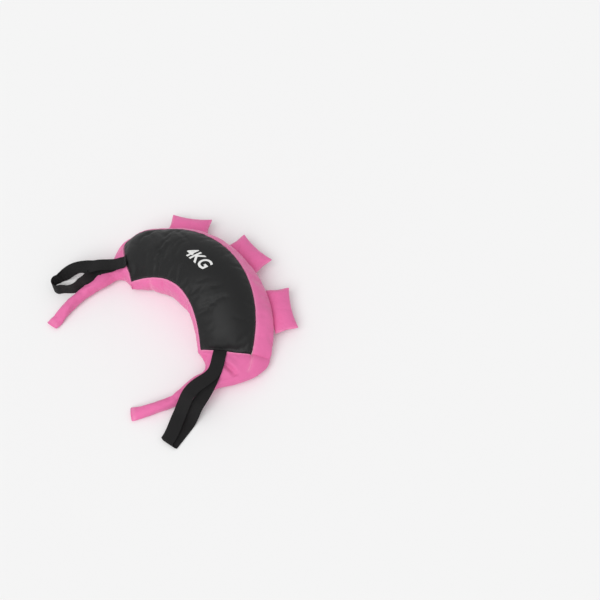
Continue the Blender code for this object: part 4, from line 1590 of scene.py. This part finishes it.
def weave_loop(side):
    route, across = loop_route(side)
    travel = unit(np.roll(route, -1, 0) - np.roll(route, 1, 0))
    square = (across * travel).sum(1, keepdims=True)
    square[LOOP_STEPS + 1:LOOP_STEPS + FOLD_STEPS] = 0.0
    across = unit(across - square * travel)
    normal = unit(np.cross(travel, across))
    section = webbing_section()
    points = (route[:, None] + section[None, :, :1] * across[:, None]
              + section[None, :, 1:] * normal[:, None])
    points = np.concatenate([points, points[:1]])
    points[..., 2] = np.maximum(points[..., 2], FLOOR_CLEARANCE)
    name = SIDES[side] + "_webbing_loop"
    piece = new_piece(name, points, grid_faces(*points.shape[:2], ring=True))
    strip_map(piece, points, section)
    turn_outward(piece, WELD_GAP)
    piece.data.materials.append(WEBBING)
    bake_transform(piece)
    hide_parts(SIDES[side] + "_strap_loop")
    length = np.linalg.norm(np.diff(route, axis=0), axis=1).sum()
    print(name, len(piece.data.polygons), "faces, length", round(float(length), 3))


for side in (-1, 1):
    weave_loop(side)

# %% [markdown]
# The three side tabs are small pillows: two layers of nylon sewn round three edges over a
# foam pad, and closed along the wall. A pillow sewn from a rectangle keeps its corners while
# its middle pulls in, which gives the pointed dog-ear corners.

# %% Shape of a tab
TAB_COLUMNS = 48
TAB_ROWS = 26
TAB_EDGE = 0.0022
DOG_EAR = 0.0075
DOG_EAR_ENDS = 0.8
PILLOW_ALONG = (4, 0.5)
PILLOW_OUT = (2.6, 0.70)
ROOT_FADE = 0.10
ROOT_FULLNESS = 0.25
TAB_SPREAD = {-1: (0.0, 0.0), 0: (0.03, 0.0), 1: (0.13, 0.05)}
TABS = {"left_tab": -1, "middle_tab": 0, "right_tab": 1}


def tab_frame(which):
    """Directions along the tab's root, out from the wall and up, and the root's middle."""
    s = tab_place(which)
    along = unit(tab_line(s + TAB_LENGTH / 2.0) - tab_line(s - TAB_LENGTH / 2.0))
    out = unit(np.cross(UP, along))
    return along, out, np.cross(along, out), tab_line(s) + out * (TAB_ROOT_RADIUS + GAP)


def pillow(which, inset=0.0):
    """Upper and lower layer of a tab as one ring per column, with pulled-in edges."""
    along, out, up, root = tab_frame(which)
    u = np.linspace(-1.0, 1.0, TAB_COLUMNS + 1)[:, None]
    v = np.linspace(0.0, 1.0, TAB_ROWS + 1)[None, :]
    pull_side = DOG_EAR * (1.0 - u ** 2) * v ** 1.5
    pull_end = DOG_EAR * DOG_EAR_ENDS * (1.0 - (2.0 * v - 1.0) ** 2) * np.abs(u) ** 3
    spread = 1.0 + mix(*TAB_SPREAD[which], v)
    x = (u * (TAB_LENGTH / 2.0 - inset) - np.sign(u) * pull_end) * spread
    y = -TAB_ROOT_RADIUS + inset + v * (TAB_DEPTH + TAB_ROOT_RADIUS - 2.0 * inset) - pull_side
    full_along = (1.0 - u ** PILLOW_ALONG[0]) ** PILLOW_ALONG[1]
    full_out = (1.0 - np.abs(2.0 * v - 1.0) ** PILLOW_OUT[0]) ** PILLOW_OUT[1]
    full_root = np.exp(-(v / ROOT_FADE) ** 2) * ROOT_FULLNESS
    full = full_along * np.maximum(full_out, full_root)
    half = TAB_EDGE / 2.0 + (TAB_THICKNESS / 2.0 - inset - TAB_EDGE / 2.0) * full
    flat = root + x[..., None] * along + y[..., None] * out
    return flat, half[..., None] * up


def two_layers(flat, half):
    """Rings of a pillow: out along its upper layer and back along its lower one."""
    return np.concatenate([flat + half, (flat - half)[:, ::-1]], 1)


# %% [markdown]
# The cloth solver fills the tabs too, against their sewn edges, and holds each one along its root.

# %% Sew the tabs
TAB_VOXEL = 0.004
TAB_PRESSURE = 5.0
TAB_STIFFNESS = 25.0
TAB_SLACK = 0.030
TAB_CAP = 0.0032


def closed_grid(name, points):
    """A piece from rings of points, closed at both ends and wound outward."""
    piece = closed_rings(name, points)
    turn_outward(piece, 0.0)
    return piece


def fill_tab(which, flat, points):
    """The two layers of a tab after its pad has pushed them out."""
    piece = even_copy(closed_grid("tab_copy", points), TAB_VOXEL)
    rest = mesh_points(piece.data)
    held, sewn = seam_weights(closest(rest, np.concatenate([flat[0], flat[-1], flat[:, -1]]))[1])
    along, out, up, root = tab_frame(which)
    held = np.where((rest - root) @ out < PUCKER_REACH, 1.0, held)
    moved = blow_up(piece, held, sewn, TAB_PRESSURE, TAB_SLACK, TAB_STIFFNESS)
    return swell(points, piece, rest, moved, TAB_CAP)


def blend_tab(piece, name):
    """Bakes the placement of a piece of a tab into its mesh."""
    along, out, up, root = tab_frame(TABS[name])
    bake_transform(piece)


def sew_tab(name):
    which = TABS[name]
    flat, half = pillow(which)
    points = fill_tab(which, flat, two_layers(flat, half))
    piece = closed_grid(name + "_pillow", points)
    flat_map(piece, points, ring=True)
    mark_edges(piece, [flat[0], flat[-1], flat[:, -1]])
    piece.data.materials.append(NYLON)
    thicken(piece)
    blend_tab(piece, name)
    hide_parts(name + "_sleeve")
    print(name, len(piece.data.polygons), "faces")
    return piece


tabs = {name: sew_tab(name) for name in TABS}

# %% [markdown]
# Stitches are what holds such a bag together, and they are what shows that it is sewn. Each is
# a short rounded length of thread that lies in the cloth. A row of them is one mesh: the rows
# follow the panel edges, the three sewn edges of a tab and the tips of the tails. The thread
# is laid on the finished surface, so it dips with it.

# %% Thread
STITCH_LENGTH = 0.0048
STITCH_SPACING = 0.0068
THREAD_RADIUS = 0.00042
STITCH_SIDES = 6
# Rings of one stitch: share of its length, size and lift, both in thread radii.
STITCH_RINGS = ((0.0, 0.25, -0.6), (0.12, 0.85, -0.1), (0.5, 1.0, 0.35), (0.88, 0.85, -0.1),
                (1.0, 0.25, -0.6))
SURFACE_REACH = 0.02


def stitch_row(line, normals):
    """Points and faces of the stitches along a line of points with outward directions."""
    steps = np.linalg.norm(np.diff(line, axis=0), axis=1)
    along = np.concatenate([[0.0], np.cumsum(steps)])
    starts = np.arange(STITCH_SPACING / 2.0, along[-1] - STITCH_LENGTH, STITCH_SPACING)
    angles = 2.0 * pi * shares(STITCH_SIDES)
    points, faces = [], []
    for start in starts:
        ends = [np.array([np.interp(start + d, along, line[:, axis]) for axis in range(3)])
                for d in (0.0, STITCH_LENGTH)]
        up = unit(np.array([np.interp(start, along, normals[:, axis]) for axis in range(3)]))
        way = unit(ends[1] - ends[0])
        side = np.cross(up, way)
        first = len(points)
        for share, size, lift in STITCH_RINGS:
            middle = mix(ends[0], ends[1], share) + up * lift * THREAD_RADIUS
            for angle in angles:
                points.append(middle + (side * cos(angle) + up * sin(angle)) * size * THREAD_RADIUS)
        faces += grid_faces(len(STITCH_RINGS), STITCH_SIDES, ring=True, start=first)
    return points, faces


def sew(name, lines, thread, place):
    """One piece of thread for several lines, each (points, normals), placed on its body."""
    points, faces = joined(stitch_row(line, normals) for line, normals in lines)
    piece = new_piece(name, points, faces)
    piece.data.materials.append(thread)
    place(piece)
    print(name, len(points) // (len(STITCH_RINGS) * STITCH_SIDES), "stitches")


def surface_line(tree, guide, directions):
    """Where a line drawn near a surface lies on it, with the surface's directions."""
    found, ups = [], []
    for point, way in zip(guide, directions):
        above = Vector(point + way * SURFACE_REACH)
        hit, up, _, _ = tree.ray_cast(above, Vector(-way), 2.0 * SURFACE_REACH)
        if hit is not None:
            found.append(hit[:])
            ups.append(up[:])
    return np.array(found), np.array(ups)


def tree_of(piece):
    bpy.context.view_layer.update()
    return BVHTree.FromObject(piece, bpy.context.evaluated_depsgraph_get())


# %% [markdown]
# The black panel is stitched once more, close inside its edge, to keep the seam flat. The line
# is drawn on the skin grid and dropped on the finished leather, in black thread on black.

# %% Topstitch of the black panel
TOPSTITCH_ROWS = 1.3
TOPSTITCH_COLUMNS = 1.15
LONG_GUIDE_POINTS = 400
SHORT_GUIDE_POINTS = 160
leather_tree = tree_of(panels["top_panel_leather"])
side_columns = (TOPSTITCH_COLUMNS, OUTER_SEAM - TOPSTITCH_COLUMNS)
end_rows = (FIRST_PANEL_ROW + TOPSTITCH_ROWS, LAST_PANEL_ROW - TOPSTITCH_ROWS)
long_guide = np.linspace(*end_rows, LONG_GUIDE_POINTS)
short_guide = np.linspace(*side_columns, SHORT_GUIDE_POINTS)
guides = [(long_guide, np.full(LONG_GUIDE_POINTS, column)) for column in side_columns]
guides += [(np.full(SHORT_GUIDE_POINTS, row), short_guide) for row in end_rows]
sew("panel_topstitch", [surface_line(leather_tree, *grid_line(rows, columns, skin_normals))
                        for rows, columns in guides],
    BLACK_THREAD, lambda piece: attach(piece, "bag"))

# %% [markdown]
# The pink thread is nearly the colour of the cloth, so it shows as a row of small dips. On a
# tab it runs round the three sewn edges, on both layers. On a tail two rows close the tip.

# %% Stitches of the tabs and tails
TAB_STITCH_IN = 0.0045
TAB_STITCH_FROM = 3.0
TAB_GUIDE_POINTS = 90
TIP_STITCH_ROWS = (1.2, 2.4)
TIP_GUIDE_POINTS = 60


def between(grid, row, column):
    """A spot of a grid of points at a row and column that need not be whole."""
    i, j = int(row), int(column)
    near = mix(grid[i, j], grid[i + 1, j], row - i)
    return mix(near, mix(grid[i, j + 1], grid[i + 1, j + 1], row - i), column - j)


def tab_stitches(name):
    """Rows inside the three sewn edges, on both layers."""
    along, out, up, root = tab_frame(TABS[name])
    flat = pillow(TABS[name])[0]
    column_in = TAB_STITCH_IN / TAB_LENGTH * TAB_COLUMNS
    row_in = TAB_STITCH_IN / TAB_DEPTH * TAB_ROWS
    right, left, far = TAB_COLUMNS - column_in, column_in, TAB_ROWS - row_in
    corners = np.array([(left, TAB_STITCH_FROM), (left, far), (right, far), (right, TAB_STITCH_FROM)])
    guide = np.array([between(flat, *mix(first, last, share))
                      for first, last in zip(corners, corners[1:]) for share in shares(TAB_GUIDE_POINTS)])
    tree = tree_of(tabs[name])
    lines = [surface_line(tree, guide, np.tile(way, (len(guide), 1))) for way in (up, -up)]
    sew(name + "_stitches", lines, PINK_THREAD, lambda piece: blend_tab(piece, name))


def tip_stitches(side):
    """Two rows across the flat tip of a tail, above and below."""
    tree = tree_of(tails[side])
    lines = []
    for row_in in TIP_STITCH_ROWS:
        row = row_in if side < 0 else len(skin) - 1 - row_in
        for first, last in ((2, TOP_STEPS - 2), (OUTER_BASE_SEAM + 1, INNER_BASE_SEAM - 1)):
            columns = np.linspace(first, last, TIP_GUIDE_POINTS)
            guide = grid_line(np.full(TIP_GUIDE_POINTS, row), columns, skin_normals)[0]
            way = np.tile(UP if first < TOP_STEPS else -UP, (TIP_GUIDE_POINTS, 1))
            lines.append(surface_line(tree, guide, way))
    sew(SIDES[side] + "_tip_stitches", lines, PINK_THREAD,
        lambda piece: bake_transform(piece))


for name in TABS:
    tab_stitches(name)
for side in (-1, 1):
    tip_stitches(side)

# %% [markdown]
# The mark on top gives the weight and nothing else. It is a number and a unit in bold slanted
# letters, printed in thick white ink that follows the leather under it. The letters come from
# Blender's own font; they are cut into small faces before they are laid on the curved top.

# %% Weight mark
MARK_TEXT = "4KG"
MARK_SIZE = 0.050
MARK_NARROW = 0.88
MARK_SLANT = 0.32
MARK_BOLDNESS = 0.0011
MARK_PLACE = (-0.017, -0.003)
MARK_CELL = 0.003
INK = 0.0004


def flat_letters():
    """The mark as a flat mesh."""
    words = bpy.data.curves.new("words", "FONT")
    words.body = MARK_TEXT
    words.size = MARK_SIZE
    words.shear = MARK_SLANT
    words.offset = MARK_BOLDNESS
    words.align_x = "CENTER"
    words.align_y = "CENTER"
    words.resolution_u = 6
    drawn = bpy.data.objects.new("words", words)
    bpy.context.scene.collection.objects.link(drawn)
    mesh = bpy.data.meshes.new_from_object(evaluated(drawn))
    bpy.data.objects.remove(drawn)
    return mesh


def lay_on_top(mesh):
    """Cuts the flat letters into small faces and drops them on the leather."""
    bm = bmesh.new()
    bm.from_mesh(mesh)
    for axis in (0, 1):
        places = [vert.co[axis] for vert in bm.verts]
        for cut in np.arange(min(places) + MARK_CELL, max(places), MARK_CELL):
            place, way = Vector((0.0, 0.0, 0.0)), Vector((0.0, 0.0, 0.0))
            place[axis], way[axis] = cut, 1.0
            bmesh.ops.bisect_plane(bm, geom=bm.verts[:] + bm.edges[:] + bm.faces[:],
                                   plane_co=place, plane_no=way, dist=0.000001)
    for vert in bm.verts:
        x, y = vert.co.x * MARK_NARROW + MARK_PLACE[0], vert.co.y + MARK_PLACE[1]
        hit = leather_tree.ray_cast(Vector((x, y, 1.0)), Vector((0.0, 0.0, -1.0)))[0]
        vert.co = (x, y, hit.z + INK)
    bmesh.ops.recalc_face_normals(bm, faces=bm.faces)
    bm.to_mesh(mesh)
    bm.free()


mark_mesh = flat_letters()
lay_on_top(mark_mesh)
mark = bpy.data.objects.new("weight_mark", mark_mesh)
bpy.context.scene.collection.objects.link(mark)
mark_mesh.materials.clear()
mark_mesh.materials.append(PRINT)
ink = mark.modifiers.new("ink", "SOLIDIFY")
ink.thickness = INK
ink.offset = 0.0
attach(mark, "bag")
print("mark", np.ptp(mesh_points(mark_mesh), axis=0).round(3), "faces", len(mark_mesh.polygons))

# %% [markdown]
# Inside, the bag is built up like the real one: a cotton liner holds the filling, the tails
# have a foam core and each tab a foam pad. They are the skin again, with each ring drawn in
# towards its own middle, so that nothing pokes through the cloth above.

# %% What is inside
LINER_DEPTH = 0.0050
FILLING_DEPTH = 0.0080
CORE_DEPTH = 0.0035
PAD_DEPTH = 0.0030
INNER_ROWS_CUT = (4, 3)
CORE_ROWS_CUT = 3


def drawn_in(rings, depth):
    """Rings drawn in towards their own middles, by the depth where they are thinnest."""
    middle = rings.mean(1, keepdims=True)
    gap = np.linalg.norm(rings - middle, axis=-1).min(1)
    return mix(rings, middle, (depth / gap)[:, None, None])


def inner_body(name, depth, material, replaced):
    """A closed body inside the black panel's stretch of the bag."""
    first = FIRST_PANEL_ROW - END_ROWS[-1] + INNER_ROWS_CUT[0]
    rows = slice(first, LAST_PANEL_ROW + END_ROWS[1] - INNER_ROWS_CUT[1])
    piece = closed_grid(name, drawn_in(skin[rows], depth))
    piece.data.materials.append(material)
    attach(piece, "bag")
    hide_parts(replaced)


def foam(name, points, replaced):
    piece = closed_grid(name, points)
    piece.data.materials.append(FOAM)
    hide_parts(replaced)
    return piece


def tail_core(side):
    rows = skin[CORE_ROWS_CUT:TAIL_ROWS] if side < 0 else skin[-TAIL_ROWS:-CORE_ROWS_CUT]
    piece = foam(SIDES[side] + "_foam_core", drawn_in(rows, CORE_DEPTH), SIDES[side] + "_tail_core")
    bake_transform(piece)


def tab_pad(name):
    points = two_layers(*pillow(TABS[name], PAD_DEPTH))
    blend_tab(foam(name + "_foam_pad", points, name + "_pad"), name)


inner_body("liner_sack", LINER_DEPTH, LINER, "inner_bag")
inner_body("packed_filling", FILLING_DEPTH, GRANULES, "filling")
for side in (-1, 1):
    tail_core(side)
for name in TABS:
    tab_pad(name)

# %% Update the scene
bpy.context.view_layer.update()
